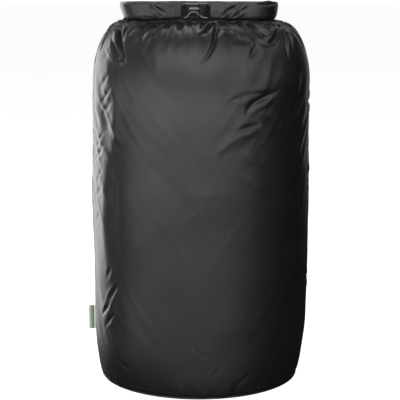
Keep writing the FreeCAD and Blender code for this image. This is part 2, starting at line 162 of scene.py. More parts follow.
def spread(tree, source, **limits):
    node = addNode(tree, "ShaderNodeMapRange", **limits)
    link(tree, source, node.inputs["Value"])
    return node.outputs["Result"]


def mixColors(tree, factor, first, second):
    # each colour is a value or the output of another node
    mix = tree.nodes.new("ShaderNodeMix")
    mix.data_type = "RGBA"
    link(tree, factor, mix.inputs["Factor"])
    for key, color in (("A", first), ("B", second)):
        if isinstance(color, bpy.types.NodeSocket):
            link(tree, color, mix.inputs[key])
        else:
            mix.inputs[key].default_value = color
    return mix.outputs["Result"]


def crossedThreads(tree, threads, distortion):
    # one set of waves up the cloth times one set across it
    weave = addNode(tree, "ShaderNodeMath")
    weave.operation = "MULTIPLY"
    for count, way in enumerate("ZX"):
        wave = pattern(tree, "ShaderNodeTexWave", Scale=threads, Distortion=distortion)
        wave.bands_direction = way
        link(tree, wave.outputs["Fac"], weave.inputs[count])
    return weave.outputs[0]


def bump(tree, height, strength, distance):
    node = addNode(tree, "ShaderNodeBump", Strength=strength, Distance=distance)
    link(tree, height, node.inputs["Height"])
    return node


clothLook = {
    "dark": (0.0050, 0.0051, 0.0055, 1),
    "light": (0.0085, 0.0087, 0.0093, 1),
    "patches": 7.0,
    "smears": 22.0,
    "roughness": (0.34, 0.47),
    "shine": 0.55,
    "threads": 1500.0,
    "threadBump": 0.10,
    "threadDeep": 0.0002,
    "crinkle": 95.0,
    "crinkleBump": 0.10,
    "crinkleDeep": 0.0012,
}


def coatedNylon(name, look):
    # smooth coated taffeta: fine crossing threads, faint crinkle and uneven sheen
    material, tree, shader = shaderNodes(name)
    patches = pattern(tree, "ShaderNodeTexNoise", Scale=look["patches"], Detail=5.0, Roughness=0.6)
    tint = mixColors(tree, patches.outputs["Fac"], look["dark"], look["light"])
    link(tree, tint, shader.inputs["Base Color"])
    smears = pattern(tree, "ShaderNodeTexNoise", Scale=look["smears"], Detail=6.0, Roughness=0.65)
    smooth, rough = look["roughness"]
    link(tree, spread(tree, smears.outputs["Fac"], To_Min=smooth, To_Max=rough), shader.inputs["Roughness"])
    weave = crossedThreads(tree, look["threads"], 0.4)
    crinkles = pattern(tree, "ShaderNodeTexNoise", Scale=look["crinkle"], Detail=4.0, Roughness=0.55)
    fine = bump(tree, weave, look["threadBump"], look["threadDeep"])
    broad = bump(tree, crinkles.outputs["Fac"], look["crinkleBump"], look["crinkleDeep"])
    link(tree, fine.outputs["Normal"], broad.inputs["Normal"])
    link(tree, broad.outputs["Normal"], shader.inputs["Normal"])
    shader.inputs["Specular IOR Level"].default_value = look["shine"]
    return material


def plainPlastic(name, color, roughness, grain, grainBump, shine=0.5):
    # moulded plastic with a spark-eroded grain
    material, tree, shader = shaderNodes(name)
    patches = pattern(tree, "ShaderNodeTexNoise", Scale=60.0, Detail=3.0).outputs["Fac"]
    shade = spread(tree, patches, To_Min=roughness - 0.05, To_Max=roughness + 0.07)
    link(tree, shade, shader.inputs["Roughness"])
    worn = (*[c * 0.85 for c in color], 1)
    pale = (*[min(1, c * 1.2) for c in color], 1)
    link(tree, mixColors(tree, patches, worn, pale), shader.inputs["Base Color"])
    speck = pattern(tree, "ShaderNodeTexNoise", Scale=grain, Detail=2.0)
    link(tree, bump(tree, speck.outputs["Fac"], grainBump, 0.0001).outputs["Normal"], shader.inputs["Normal"])
    shader.inputs["Specular IOR Level"].default_value = shine
    return material


def wovenCloth(name, dark, light, threads, bumpDepth, roughness, sheen=0.2, shine=0.5):
    # cloth with visible threads, for webbing, stitches and the tag
    material, tree, shader = shaderNodes(name)
    weave = crossedThreads(tree, threads, 0.6)
    link(tree, mixColors(tree, weave, (*dark, 1), (*light, 1)), shader.inputs["Base Color"])
    link(tree, bump(tree, weave, 0.8, bumpDepth).outputs["Normal"], shader.inputs["Normal"])
    shader.inputs["Roughness"].default_value = roughness
    shader.inputs["Sheen Weight"].default_value = sheen
    shader.inputs["Specular IOR Level"].default_value = shine
    return material


clothBlack = coatedNylon("coatedNylon", clothLook)
buckleBlack = plainPlastic("buckleAcetal", (0.004, 0.004, 0.0045), 0.34, 2600.0, 0.10, 0.16)
# the ribs and thumb pads take a paler copy of the clip's plastic: the paler colour is a painted highlight on
# their rounded edges, while their higher shine is real
buckleHighlight = plainPlastic("paintedHighlightPlastic", (0.075, 0.077, 0.080), 0.26, 1400.0, 0.10, 0.95)
stripBlack = plainPlastic("stiffStrip", (0.03, 0.03, 0.03), 0.55, 1800.0, 0.3)
tapeGrey = plainPlastic("seamTape", (0.30, 0.31, 0.32), 0.35, 900.0, 0.2)
threadBlack = wovenCloth("stitchThread", (0.01, 0.01, 0.011), (0.035, 0.035, 0.038), 2400.0, 0.0002, 0.6)
webbingBlack = wovenCloth("webbingWeave", (0.002, 0.002, 0.0025), (0.010, 0.010, 0.011), 700.0, 0.0004, 0.7,
                          sheen=0.04, shine=0.15)
print("materials made")


bag = {
    "turns": 280,            # quads round the body
    "rows": 156,             # quads from the base seam to the crown
    "radius": 0.1993,
    "belly": 0.2016,
    "bellyLevel": 0.34,
    "bellySpread": 0.15,
    "baseRadius": 0.1835,
    "baseCurve": 0.13,
    "sideShoulder": 0.545,
    "frontShoulder": 0.48,
    "topHalfWidth": 0.149,
    "topHalfDepth": 0.066,
    # how far up the rows the crown starts, and how far up they pass each level below it
    "crownStart": 0.86,
    "rowShares": (0, 0.10, 0.45, 0.60, 0.72, 0.80, 0.86),
    # the crown, by share of its rows: how far outside the roll's centre line it lies, and its rise
    "insetShares": (0, 0.12, 0.35, 0.6, 1),
    "insets": (0.016, 0.010, 0.001, -0.012, -0.049),
    "riseShares": (0, 0.12, 0.35, 0.5, 0.7, 1),
    "rises": (0, 0.0020, 0.0034, 0.0030, -0.003, -0.009),
    "riseBehind": 0.0055,
    # the stuffed base sits a little to the left and draws in at its seam
    "settleLevel": 0.13,
    "settleTuck": 0.016,
    "settleLeft": 0.0035,
}
bodyTop = bodyHigh.z
rowLevels = (0.0015, bag["baseCurve"], bag["sideShoulder"] - 0.08, bag["sideShoulder"] + 0.03, 0.636, 0.655,
             bodyTop - 1e-5)
ringMiddle = (leftEnd.x + rightEnd.x) / 2
ringRadius = 0.05
ringOuter = 0.06             # the bends' own radius to the outside of the roll
leftBend = leftEnd.x + ringOuter
rightBend = rightEnd.x - ringOuter


def sectionAt(z):
    # half width and half depth of the smooth body at height z, as arrays
    z = np.clip(z, 0.0, bodyTop - 1e-5)
    turn = np.arccos(np.clip(1 - z / bag["baseCurve"], -1, 1))
    low = bag["baseRadius"] + (bag["radius"] - bag["baseRadius"]) * np.sin(np.minimum(turn, math.pi / 2))
    low = np.where(z < bag["baseCurve"], low, bag["radius"])
    bulge = (bag["belly"] - bag["radius"]) * np.exp(-((z - bag["bellyLevel"]) / bag["bellySpread"]) ** 2)
    side = np.clip((z - bag["sideShoulder"]) / (bodyTop - bag["sideShoulder"]), 0, 1)
    front = np.clip((z - bag["frontShoulder"]) / (bodyTop - bag["frontShoulder"]), 0, 1)
    width = bag["topHalfWidth"] + (low - bag["topHalfWidth"]) * np.sqrt(1 - side ** 2) + bulge
    depth = bag["topHalfDepth"] + (low - bag["topHalfDepth"]) * np.sqrt(1 - front ** 2) + bulge
    return width, depth



def ringOutline(angle, offset):
    # a point on the roll's closed centre line, grown outwards by offset, at a given bearing
    # the bearing runs from the front (-Y) round by the right
    reach = ringRadius + offset
    wide = (rightBend - leftBend) / 2 + reach
    x = np.sin(angle)
    y = -np.cos(angle)
    # squash the bearing onto a stadium: a superellipse close to it keeps the rows even
    power = 2.0 + 1.6 * np.clip((ringRadius - offset) / ringRadius, 0, 1)
    scale = (np.abs(x / wide) ** power + np.abs(y / reach) ** power) ** (-1 / power)
    return ringMiddle + x * scale, y * scale


def bodyPoint(angle, v):
    # the smooth surface: angle from the front, v from 0 at the base seam to 1 at the crown's middle
    z = np.interp(v, bag["rowShares"], rowLevels)
    width, depth = sectionAt(z)
    x = width * np.sin(angle)
    y = -depth * np.cos(angle)
    # the crown: from the shoulder's last ring in to the roll, then across inside it
    crown = np.clip((v - bag["crownStart"]) / (1 - bag["crownStart"]), 0, 1)
    ringX, ringY = ringOutline(angle, np.interp(crown, bag["insetShares"], bag["insets"]))
    inward = np.clip(crown / 0.15, 0, 1)
    onCrown = v > bag["crownStart"]
    x = np.where(onCrown, x + (ringX - x) * inward, x)
    y = np.where(onCrown, y + (ringY - y) * inward, y)
    rise = np.interp(crown, bag["riseShares"], bag["rises"])
    fromFront = np.clip((np.abs(angle) - 1.45) / 0.4, 0, 1)
    behind = fromFront * np.interp(crown, [0.1, 0.3, 0.7, 0.9], [0, 1, 1, 0])
    return x, y, np.where(onCrown, bodyTop + rise + bag["riseBehind"] * behind, z)


def creaseDistance(points, path, normals):
    # distance to the polyline, share of its length at the nearest spot, and which side the point is on
    path = np.array(path)
    lengths = np.linalg.norm(np.diff(path, axis=0), axis=1)
    total = lengths.sum()
    best = np.full(len(points), 1e9)
    along = np.zeros(len(points))
    side = np.ones(len(points))
    start = 0.0
    for a, b, length in zip(path[:-1], path[1:], lengths):
        t = np.clip(((points - a) @ (b - a)) / length ** 2, 0, 1)
        away = points - (a + t[:, None] * (b - a))
        gap = np.linalg.norm(away, axis=1)
        closer = gap < best
        turned = np.cross(normals, b - a)
        best = np.where(closer, gap, best)
        along = np.where(closer, (start + t * length) / total, along)
        side = np.where(closer, np.sign((away * turned).sum(axis=1)), side)
        start += length
    return best, along, side


def creaseShift(points, normals, path, depth, width, ridge, lean=0.0):
    # depth of the fold at each point: a sharp valley, steeper on one side, with a rounded ridge beside it
    shift = np.zeros(len(points))
    room = 5 * width * (1 + abs(lean))
    near = np.all((points > path.min(axis=0) - room) & (points < path.max(axis=0) + room), axis=1)
    if not near.any():
        return shift
    gap, along, side = creaseDistance(points[near], path, normals[near])
    # a fold that starts just under the roll is deepest there; any other thins out towards both ends
    fromRoll = 0.645 < path[0][2] < 0.662
    if fromRoll:
        taper = np.clip((1.02 - along) / 0.80, 0, 1) ** 0.8
    else:
        taper = np.sin(np.clip(along, 0, 1) * math.pi) ** 0.8
    reach = width * (0.35 + 0.65 * taper) * (1 + lean * side)
    valley = np.exp(-(gap / reach) ** 1.35)
    beside = np.exp(-((gap - 2.1 * reach) / (1.2 * reach)) ** 2)
    shift[near] = -depth * taper * (valley - ridge * beside * taper)
    return shift

def rounded(path, count=14):
    # a smooth curve through the run of given points, read back as a polyline
    if len(path) < 3:
        return np.array(path, float)
    curve = bpy.data.curves.new("path", "CURVE")
    curve.dimensions = "3D"
    spline = curve.splines.new("NURBS")
    spline.points.add(len(path) - 1)
    for point, place in zip(spline.points, path):
        point.co = (*place, 1)
    spline.order_u = 3
    spline.use_endpoint_u = True
    spline.resolution_u = count
    holder = bpy.data.objects.new("path", curve)
    mesh = bpy.data.meshes.new_from_object(holder)
    smooth = np.array([vertex.co[:] for vertex in mesh.vertices])
    bpy.data.objects.remove(holder)
    bpy.data.meshes.remove(mesh)
    bpy.data.curves.remove(curve)
    return smooth


def onBody(path):
    # bearing from the front in degrees and height in metres, laid on the smooth body
    path = rounded([(bearing / 100, level, 0) for bearing, level in path])
    width, depth = sectionAt(path[:, 1])
    bearing = np.radians(path[:, 0] * 100)
    return np.stack([width * np.sin(bearing), -depth * np.cos(bearing), path[:, 1]], axis=1)


# Folds where the stuffed cloth is gathered under the roll. Each stroke: bearing from the front in
# degrees (right positive) and height in metres, then depth and width of the groove, and the share
# of the depth that stands up as a ridge beside it. A negative depth is a raised fold.
folds = {
    "leftDeep": ([(-59.5, 0.650), (-51.0, 0.626), (-46.3, 0.604), (-43.0, 0.592)],
                 0.0100, 0.0046, 0.30, 0.30),
    "leftUpper": ([(-46.0, 0.6595), (-50.5, 0.656), (-51.2, 0.646), (-48.5, 0.632)], 0.0090, 0.0044, 0.30),
    "leftSeam": ([(-42, 0.6602), (-56, 0.6580), (-66, 0.6520), (-73.5, 0.643), (-78, 0.627), (-82, 0.600)],
                 0.0060, 0.0030, 0.50),
    "leftSeamLow": ([(-57, 0.6550), (-66, 0.6455), (-72, 0.632), (-76, 0.612)], 0.0040, 0.0024, 0.40),
    "leftRim": ([(-66, 0.619), (-57.0, 0.604), (-51.3, 0.5955), (-45.5, 0.591), (-40.5, 0.597)],
                -0.0032, 0.0044, 0.20),
    "leftFork": ([(-62.6, 0.634), (-55.0, 0.617), (-48.1, 0.599)], 0.0044, 0.0032, 0.40),
    "leftOuter": ([(-74, 0.652), (-70.4, 0.633), (-74, 0.606)], 0.0060, 0.0042, 0.35),
    "centreLeft": ([(-5.8, 0.660), (-3.9, 0.650), (-2.1, 0.641)], -0.0034, 0.0030, 0.40),
    "centreRight": ([(-2.1, 0.641), (0.6, 0.6475), (5.0, 0.660)], -0.0040, 0.0032, 0.40),
    "centreDark": ([(6.0, 0.6595), (3.4, 0.651), (1.0, 0.642)], 0.0068, 0.0034, 0.30, 0.25),
    "oblique": ([(9.0, 0.6520), (7.4, 0.635), (5.4, 0.6200), (2.9, 0.606), (-0.8, 0.592)],
                0.0072, 0.0046, 0.45, 0.35),
    "obliqueRidge": ([(10.4, 0.648), (9.2, 0.632), (7.4, 0.617), (4.6, 0.601)], -0.0022, 0.0050, 0.20),
    "wavy": ([(9.4, 0.660), (11.5, 0.6510), (14.8, 0.6500), (18.3, 0.6515), (23, 0.648)],
             -0.0034, 0.0032, 0.50),
    "pocketTop": ([(30.0, 0.6595), (34.6, 0.651), (40.0, 0.644), (47, 0.6395)], 0.0100, 0.0054, 0.30, 0.25),
    "pocketUpper": ([(38.0, 0.6600), (41.6, 0.6545), (45.0, 0.6490)], 0.0064, 0.0032, 0.30),
    "pocketRidge": ([(32.4, 0.638), (36.4, 0.6290), (40.2, 0.630), (44.6, 0.640), (50.6, 0.652)],
                    -0.0052, 0.0038, 0.40),
    "pocketTail": ([(33.9, 0.632), (29.4, 0.6182), (26.0, 0.603)], 0.0030, 0.0060, 0.30, 0.3),
    "rightCrease": ([(58.0, 0.6520), (54.6, 0.6346), (52.4, 0.614), (52.0, 0.600)],
                    0.0088, 0.0044, 0.35, 0.3),
    "rightBeside": ([(62.0, 0.6480), (61.0, 0.6310), (58.0, 0.612)], 0.0050, 0.0040, 0.40),
    "rightSeam": ([(44.0, 0.6602), (57.1, 0.6580), (68.0, 0.6510), (76.1, 0.636), (80.1, 0.612)],
                  0.0062, 0.0030, 0.50),
    "softFarLeft": ([(-38.1, 0.6560), (-35.3, 0.637), (-34.5, 0.618)], 0.0026, 0.0080, 0.20),
    "softLeft": ([(-30.0, 0.6580), (-27.5, 0.642), (-27.0, 0.632)], 0.0024, 0.0060, 0.30),
    "softMid": ([(-21.7, 0.6590), (-19.2, 0.644), (-18.6, 0.630)], 0.0024, 0.0056, 0.30),
    "softNear": ([(-13.2, 0.6590), (-11.6, 0.645), (-10.8, 0.628)], 0.0040, 0.0050, 0.30),
    "shade": ([(17, 0.642), (22, 0.636), (28, 0.628)], 0.0020, 0.0080, 0.30),
    "stripA": ([(-66.6, 0.545), (-60.0, 0.556), (-53.5, 0.574)], 0.0013, 0.0050, 0.50),
    "stripB": ([(-63.1, 0.524), (-55.3, 0.537), (-50.6, 0.553)], 0.0016, 0.0040, 0.50),
    "stripC": ([(-64.5, 0.500), (-56.3, 0.513), (-49.6, 0.529)], 0.0014, 0.0046, 0.50),
    "stripD": ([(-71.6, 0.441), (-66.0, 0.452), (-61.6, 0.468)], 0.0011, 0.0040, 0.50),
    "stripE": ([(-73.7, 0.418), (-66.4, 0.427), (-59.6, 0.446)], 0.0014, 0.0044, 0.50),
    "stripF": ([(-70.9, 0.376), (-65.4, 0.387), (-61.8, 0.401)], 0.0011, 0.0038, 0.50),
    "stripG": ([(-74.3, 0.344), (-66.6, 0.355), (-58.8, 0.376)], 0.0010, 0.0042, 0.50),
    "stripH": ([(-73.0, 0.299), (-68.0, 0.309), (-63.5, 0.325)], 0.0009, 0.0040, 0.50),
    "stripHollow": ([(-63.0, 0.510), (-58.0, 0.486), (-55.0, 0.462)], 0.0016, 0.0120, 0.25),
    "lowLeftA": ([(-60.9, 0.152), (-53.9, 0.172), (-48.1, 0.200)], 0.0020, 0.0040, 0.55),
    "lowLeftB": ([(-66.1, 0.128), (-58.5, 0.146), (-53.0, 0.170)], 0.0020, 0.0038, 0.55),
    "lowLeftC": ([(-62.0, 0.110), (-56.5, 0.125), (-51.0, 0.142)], 0.0016, 0.0036, 0.55),
    "lowLeftD": ([(-59.0, 0.203), (-54.0, 0.225)], 0.0012, 0.0045, 0.50),
    "rightDrapeA": ([(11.4, 0.550), (18.5, 0.555), (25.8, 0.560)], 0.0012, 0.0060, 0.50),
    "rightDrapeB": ([(12.3, 0.529), (19.5, 0.538), (28.3, 0.5435), (34, 0.545)], 0.0028, 0.0060, 0.50, 0.25),
    "rightDrapeC": ([(22.3, 0.508), (26.7, 0.526), (33.6, 0.5365), (42, 0.545)], 0.0060, 0.0064, 0.40, 0.25),
    "rightDrapeD": ([(16.9, 0.479), (23.7, 0.486), (31.7, 0.4905)], 0.0018, 0.0052, 0.45),
    "rightDrapeE": ([(5.9, 0.438), (13.3, 0.459), (20.5, 0.473), (29.0, 0.4835)], -0.0018, 0.0085, 0.20),
    "rightDrapeF": ([(19.0, 0.449), (24.9, 0.434), (31.5, 0.414)], -0.0012, 0.0070, 0.20),
    "rightDrapeG": ([(20.2, 0.405), (26.9, 0.388), (35.9, 0.362)], -0.0013, 0.0065, 0.20),
    "rightDrapeH": ([(30.0, 0.504), (38.0, 0.492), (46.0, 0.4840)], 0.0020, 0.0070, 0.40),
    "lowCentreA": ([(-5.9, 0.108), (-2.7, 0.094), (0.4, 0.080)], 0.0005, 0.0036, 0.60),
    "lowCentreB": ([(0.8, 0.090), (3.4, 0.081), (7.0, 0.074)], 0.0005, 0.0036, 0.60),
    "lowCentreC": ([(6.0, 0.040), (8.0, 0.052), (12.0, 0.064)], 0.0004, 0.0040, 0.60),
    "lowRight": ([(60.0, 0.145), (54.7, 0.136), (49.7, 0.131)], 0.0010, 0.0040, 0.60),
    "lowRightB": ([(20.0, 0.022), (24.0, 0.036), (28.0, 0.045)], 0.0008, 0.0040, 0.60),
    "lowLeftE": ([(-50.0, 0.056), (-44.0, 0.048), (-39.0, 0.043)], 0.0008, 0.0042, 0.60),
    # the sides and the back
    "rightHem": ([(98, 0.657), (94, 0.635), (97, 0.600)], 0.0070, 0.0046, 0.35, 0.3),
    "backFirst": ([(115, 0.658), (125, 0.630), (131, 0.592)], 0.0095, 0.0050, 0.35, 0.3),
    "backRim": ([(118, 0.604), (130, 0.585), (140, 0.596), (142, 0.620)], -0.0034, 0.0046, 0.30),
    "backSecond": ([(139, 0.6595), (142, 0.640), (137, 0.612)], 0.0070, 0.0044, 0.35),
    "backThird": ([(160, 0.6595), (163, 0.640), (170, 0.607), (173, 0.575)], 0.0080, 0.0050, 0.40, -0.3),
    "backFourth": ([(185, 0.6595), (182, 0.638), (183, 0.620)], 0.0056, 0.0048, 0.40),
    "backFifth": ([(203, 0.6595), (197, 0.640), (196, 0.600)], 0.0074, 0.0050, 0.40, 0.3),
    "backSixth": ([(226, 0.6590), (230, 0.637), (226, 0.602), (224, 0.572)], 0.0090, 0.0054, 0.35, -0.3),
    "backSeventh": ([(246, 0.657), (243, 0.633), (247, 0.606)], 0.0064, 0.0044, 0.35),
    "backDrapeA": ([(146, 0.512), (165, 0.528), (186, 0.530)], 0.0036, 0.0070, 0.50, 0.25),
    "backDrapeB": ([(176, 0.498), (196, 0.510), (212, 0.530)], 0.0032, 0.0070, 0.50),
    "backDrapeC": ([(136, 0.440), (150, 0.462), (160, 0.492)], 0.0026, 0.0060, 0.50),
    "backLowA": ([(205, 0.222), (217, 0.190), (228, 0.168)], 0.0028, 0.0055, 0.50),
    "backLowB": ([(208, 0.196), (219, 0.168), (227, 0.150)], 0.0024, 0.0050, 0.50),
    "backLowC": ([(140, 0.120), (150, 0.094), (156, 0.062)], 0.0022, 0.0050, 0.50),
    "rightSideLow": ([(80, 0.200), (92, 0.170), (106, 0.152)], 0.0026, 0.0055, 0.50),
    "rightSideMid": ([(70, 0.410), (84, 0.382), (92, 0.350)], 0.0026, 0.0060, 0.50),
    "rightSideHigh": ([(76, 0.530), (88, 0.506), (104, 0.498)], 0.0034, 0.0065, 0.50, 0.25),
    "rightSideHighB": ([(84, 0.560), (97, 0.548), (110, 0.552)], 0.0028, 0.0055, 0.50),
}
# Broad, soft forms of the stuffed cloth: the run as above, then height and half width.
swells = {
    "leftFacet": ([(-60, 0.604), (-56.5, 0.575), (-50.0, 0.540), (-47.5, 0.515), (-50.0, 0.490),
                   (-48.0, 0.468), (-52.5, 0.435)], 0.0036, 0.0150),
    "leftRidge": ([(-52, 0.455), (-57.5, 0.400), (-60.0, 0.330), (-60.0, 0.250), (-56.0, 0.190)],
                  0.0026, 0.0220),
    "leftHollow": ([(-66, 0.520), (-60.5, 0.495), (-57.5, 0.470)], -0.0020, 0.0160),
    "leftValley": ([(-47, 0.455), (-49.5, 0.380), (-51.0, 0.300), (-48.0, 0.230)], -0.0022, 0.0170),
    "rightShoulder": ([(22, 0.570), (36, 0.562), (50, 0.560), (64, 0.560)], 0.0034, 0.0200),
    "middle": ([(-27.0, 0.425), (-18.6, 0.400), (-10.4, 0.362), (-4, 0.336)], -0.0012, 0.0200),
    "middleRidge": ([(-12.0, 0.372), (2.0, 0.366), (16.0, 0.380)], 0.0007, 0.0140),
}
ripples = {
    "neck": 0.0038,          # gathers that fan out under the roll, by height
    "neckLow": 0.598,
    "neckHigh": 0.662,
    "flank": 0.0013,         # slanting creases on the sides and the back
    "front": 0.0005,         # the same in front
    "base": 0.0021,          # puckers along the base seam
    "baseHigh": 0.046,
    "dimples": 150,          # one at each pair of stitches in the base seam
    "dimpleDeep": 0.00030,
    "dimpleLevel": 0.0125,
    "dimpleSpread": 0.0035,
    "broad": 0.0017,         # soft unevenness of the stuffing
    "armClear": 0.6634,      # the arms swing just above this level
}


def sharpNoise(spot):
    # thin valleys between soft swells, 0 to about 1
    return abs(noise.noise(spot)) * 2


def roundNoise(bearing, height, turns, rise, lift=0.0, read=noise.noise):
    # noise read on a circle, so that it closes on itself behind the bag
    spots = np.broadcast_arrays(np.cos(bearing) * turns, np.sin(bearing) * turns, height * rise + lift)
    return np.array([read(spot) for spot in zip(*spots)])


def foldCloth(points, normals):
    # moves the cloth along its normals: the listed folds, then small gathers and unevenness
    shift = np.zeros(len(points))
    for path, depth, width, ridge, *lean in folds.values():
        shift += creaseShift(points, normals, onBody(path), depth, width, ridge, *lean)
    for path, rise, width in swells.values():
        gap, along, _ = creaseDistance(points, onBody(path), normals)
        shift += rise * np.sin(np.clip(along, 0, 1) * math.pi) ** 0.6 * np.exp(-(gap / width) ** 1.6)
    bearing = np.arctan2(points[:, 0], -points[:, 1])
    height = points[:, 2]
    # gathers that fan out under the roll
    near = np.clip((height - ripples["neckLow"]) / (ripples["neckHigh"] - ripples["neckLow"]), 0, 1) ** 1.5
    fan = roundNoise(bearing, height, 5.2, 9, read=sharpNoise) - 0.4
    fine = roundNoise(bearing, height, 13, 14, 5, sharpNoise) - 0.4
    shift += ripples["neck"] * near * (fan + 0.55 * fine)
    # slanting creases on the sides and the back, hardly any in front
    turned = (bearing + math.pi) % (2 * math.pi) - math.pi
    side = np.clip((np.abs(turned) - 0.75) / 0.35, 0, 1)
    rise = np.sign(turned) * bag["radius"] * turned
    slant1 = height * 0.80 + rise * 0.60
    slant2 = height * 0.60 - rise * 0.80
    slanted = np.array([sharpNoise((a * 9, b * 38, 2.0)) * max(0, noise.noise((a * 5, b * 5, 8.0)) + 0.30)
                        for a, b in zip(slant1, slant2)])
    amount = ripples["front"] + (ripples["flank"] - ripples["front"]) * side
    upright = np.clip((height - 0.04) / 0.08, 0, 1) * np.clip((0.63 - height) / 0.06, 0, 1)
    shift -= 2.2 * amount * slanted * upright
    # puckers along the base seam, and a dimple at its stitches
    low = np.clip((ripples["baseHigh"] - height) / 0.042, 0, 1) ** 1.6
    pucker = roundNoise(bearing, height, 13, 16) + 0.6 * roundNoise(bearing, height, 31, 22)
    shift += ripples["base"] * pucker * low
    seamGap = (height - ripples["dimpleLevel"]) / ripples["dimpleSpread"]
    shift += ripples["dimpleDeep"] * np.cos(bearing * ripples["dimples"]) * np.exp(-seamGap ** 2)
    # a broad, soft unevenness of the stuffing
    broad = np.array([noise.noise(Vector(p) * 7.0) + 0.45 * noise.noise(Vector(p) * 16.0 + Vector((4, 1, 9)))
                      for p in points])
    onSide = np.clip(height / 0.05, 0, 1) * np.clip((bodyTop - height) / 0.03, 0, 1)
    shift += ripples["broad"] * broad * onSide * (1 + 0.4 * side)
    folded = points + normals * shift[:, None]
    underArms = points[:, 1] < 0.03
    folded[:, 2] = np.where(underArms, np.minimum(folded[:, 2], ripples["armClear"]), folded[:, 2])
    return folded


def settle(points):
    low = np.clip(1 - points[:, 2] / bag["settleLevel"], 0, 1) ** 1.6
    moved = points.copy()
    moved[:, 0] = points[:, 0] * (1 - bag["settleTuck"] * low) - bag["settleLeft"] * low
    return moved


stuffing = {
    "frames": 22,
    "quality": 6,
    "mass": 0.12,
    "damping": 2.0,
    "pressure": 1.6,
    "slackTop": 0.075,       # extra cloth round the shoulders, which gathers under the roll
    "slackSide": 0.012,
    "slackBase": 0.030,
    "slackLong": 0.010,
    "bending": 0.12,
    "stretch": 22.0,
    "heldAbove": 0.6555,     # held by the roll above this level, and by the base seam below the next
    "heldBelow": 0.006,
    "heldFade": 0.004,
    "cap": 0.011,            # the most that a point may move
}


def stuffCloth(piece):
    # the cloth has a little more to it than the shape it fills, so it wrinkles as it is filled
    points = readPoints(piece)
    held = piece.vertex_groups.new(name="held")
    level = points[:, 2]
    top = np.clip((level - stuffing["heldAbove"]) / stuffing["heldFade"], 0, 1)
    base = np.clip((stuffing["heldBelow"] - level) / stuffing["heldFade"], 0, 1)
    for index, weight in enumerate(np.maximum(top, base)):
        if weight > 0:
            held.add([index], float(weight), "REPLACE")
    piece.shape_key_add(name="Basis")
    cut = piece.shape_key_add(name="cut")
    shoulder = np.clip((level - 0.50) / 0.15, 0, 1) ** 2
    foot = np.clip((0.05 - level) / 0.05, 0, 1)
    uneven = roundNoise(np.arctan2(points[:, 0], -points[:, 1]), level, 3, 6)
    slack = 1 + stuffing["slackSide"] * (1 + uneven)
    slack = slack + stuffing["slackTop"] * shoulder + stuffing["slackBase"] * foot
    larger = points.copy()
    larger[:, :2] *= slack[:, None]
    larger[:, 2] *= 1 + stuffing["slackLong"]
    cut.data.foreach_set("co", larger.ravel())
    cut.value = 0.0
    cloth = piece.modifiers.new("stuffing", "CLOTH")
    settings = cloth.settings
    settings.quality = stuffing["quality"]
    settings.mass = stuffing["mass"]
    settings.tension_stiffness = settings.compression_stiffness = stuffing["stretch"]
    settings.shear_stiffness = stuffing["stretch"] / 3
    settings.bending_stiffness = stuffing["bending"]
    settings.air_damping = stuffing["damping"]
    settings.vertex_group_mass = "held"
    settings.rest_shape_key = cut
    settings.use_pressure = True
    settings.uniform_pressure_force = stuffing["pressure"]
    settings.effector_weights.gravity = 0
    cloth.collision_settings.use_collision = False
    cloth.point_cache.frame_end = stuffing["frames"]
    scene = bpy.context.scene
    for step in range(1, stuffing["frames"] + 1):
        scene.frame_set(step)
    graph = bpy.context.evaluated_depsgraph_get()
    filled = piece.evaluated_get(graph).to_mesh()
    moved = np.empty(len(points) * 3)
    filled.vertices.foreach_get("co", moved)
    moved = moved.reshape(-1, 3)
    piece.modifiers.clear()
    piece.shape_key_clear()
    scene.frame_set(1)
    away = moved - points
    length = np.linalg.norm(away, axis=1)
    cap = stuffing["cap"]
    away *= (cap * np.tanh(length / cap) / np.maximum(length, 1e-9))[:, None]
    print("cloth filled: points moved", round(float(length.mean()) * 1000, 2), "mm on average")
    writePoints(piece, points + away)
    piece.vertex_groups.clear()


def bagBody():
    bm = bmesh.new()
    bmesh.ops.create_grid(bm, x_segments=bag["turns"], y_segments=bag["rows"], size=1.0)
    flat = np.array([vertex.co[:] for vertex in bm.verts])
    x, y, z = bodyPoint(flat[:, 0] * math.pi, (flat[:, 1] + 1) / 2)
    for vertex, place in zip(bm.verts, np.stack([x, y, z], axis=1)):
        vertex.co = place
    bmesh.ops.remove_doubles(bm, verts=bm.verts, dist=2e-5)
    piece = newPiece("bag_body", bm, clothBlack)
    stuffCloth(piece)
    finer = piece.modifiers.new("finer", "SUBSURF")
    finer.levels = finer.render_levels = 1
    applyModifiers(piece)
    points = foldCloth(readPoints(piece), readNormals(piece))
    writePoints(piece, settle(points))
    piece.data.polygons.foreach_set("use_smooth", [True] * len(piece.data.polygons))
    return piece


bagPiece = bagBody()
placePiece(bagPiece, "bag", "coated_nylon", "body_fabric", "neck_fabric")
print("body made:", len(bagPiece.data.vertices), "points")


# seams: the taped side seam, the bound base seam and the base cloth
seams = {
    "sideBearing": -90,
    "sideOutside": -0.21,    # a plane just outside the side seam
    "sideWidth": 0.008,
    "sideLow": 0.010,
    "sideHigh": 0.640,
    "sideProud": 0.0007,
    "tapeWidth": 0.022,
    "tapeThick": 0.0004,
    "tapeInset": 0.0010,
    "tapeLevel": 0.0036,
    "tapeFromBead": 0.004,
    "sideStitches": 150,
    "sideRows": 0.0026,
    "beadRadius": 0.1843,
    "beadOut": 0.0032,
    "beadHigh": 0.0021,
    "beadUneven": 0.0022,
    "baseStitches": 260,
    "baseStitchRadius": 0.1868,
    "stitchLong": 0.0027,
    "stitchThick": 0.00042,
    "stitchLift": 0.0001,
}


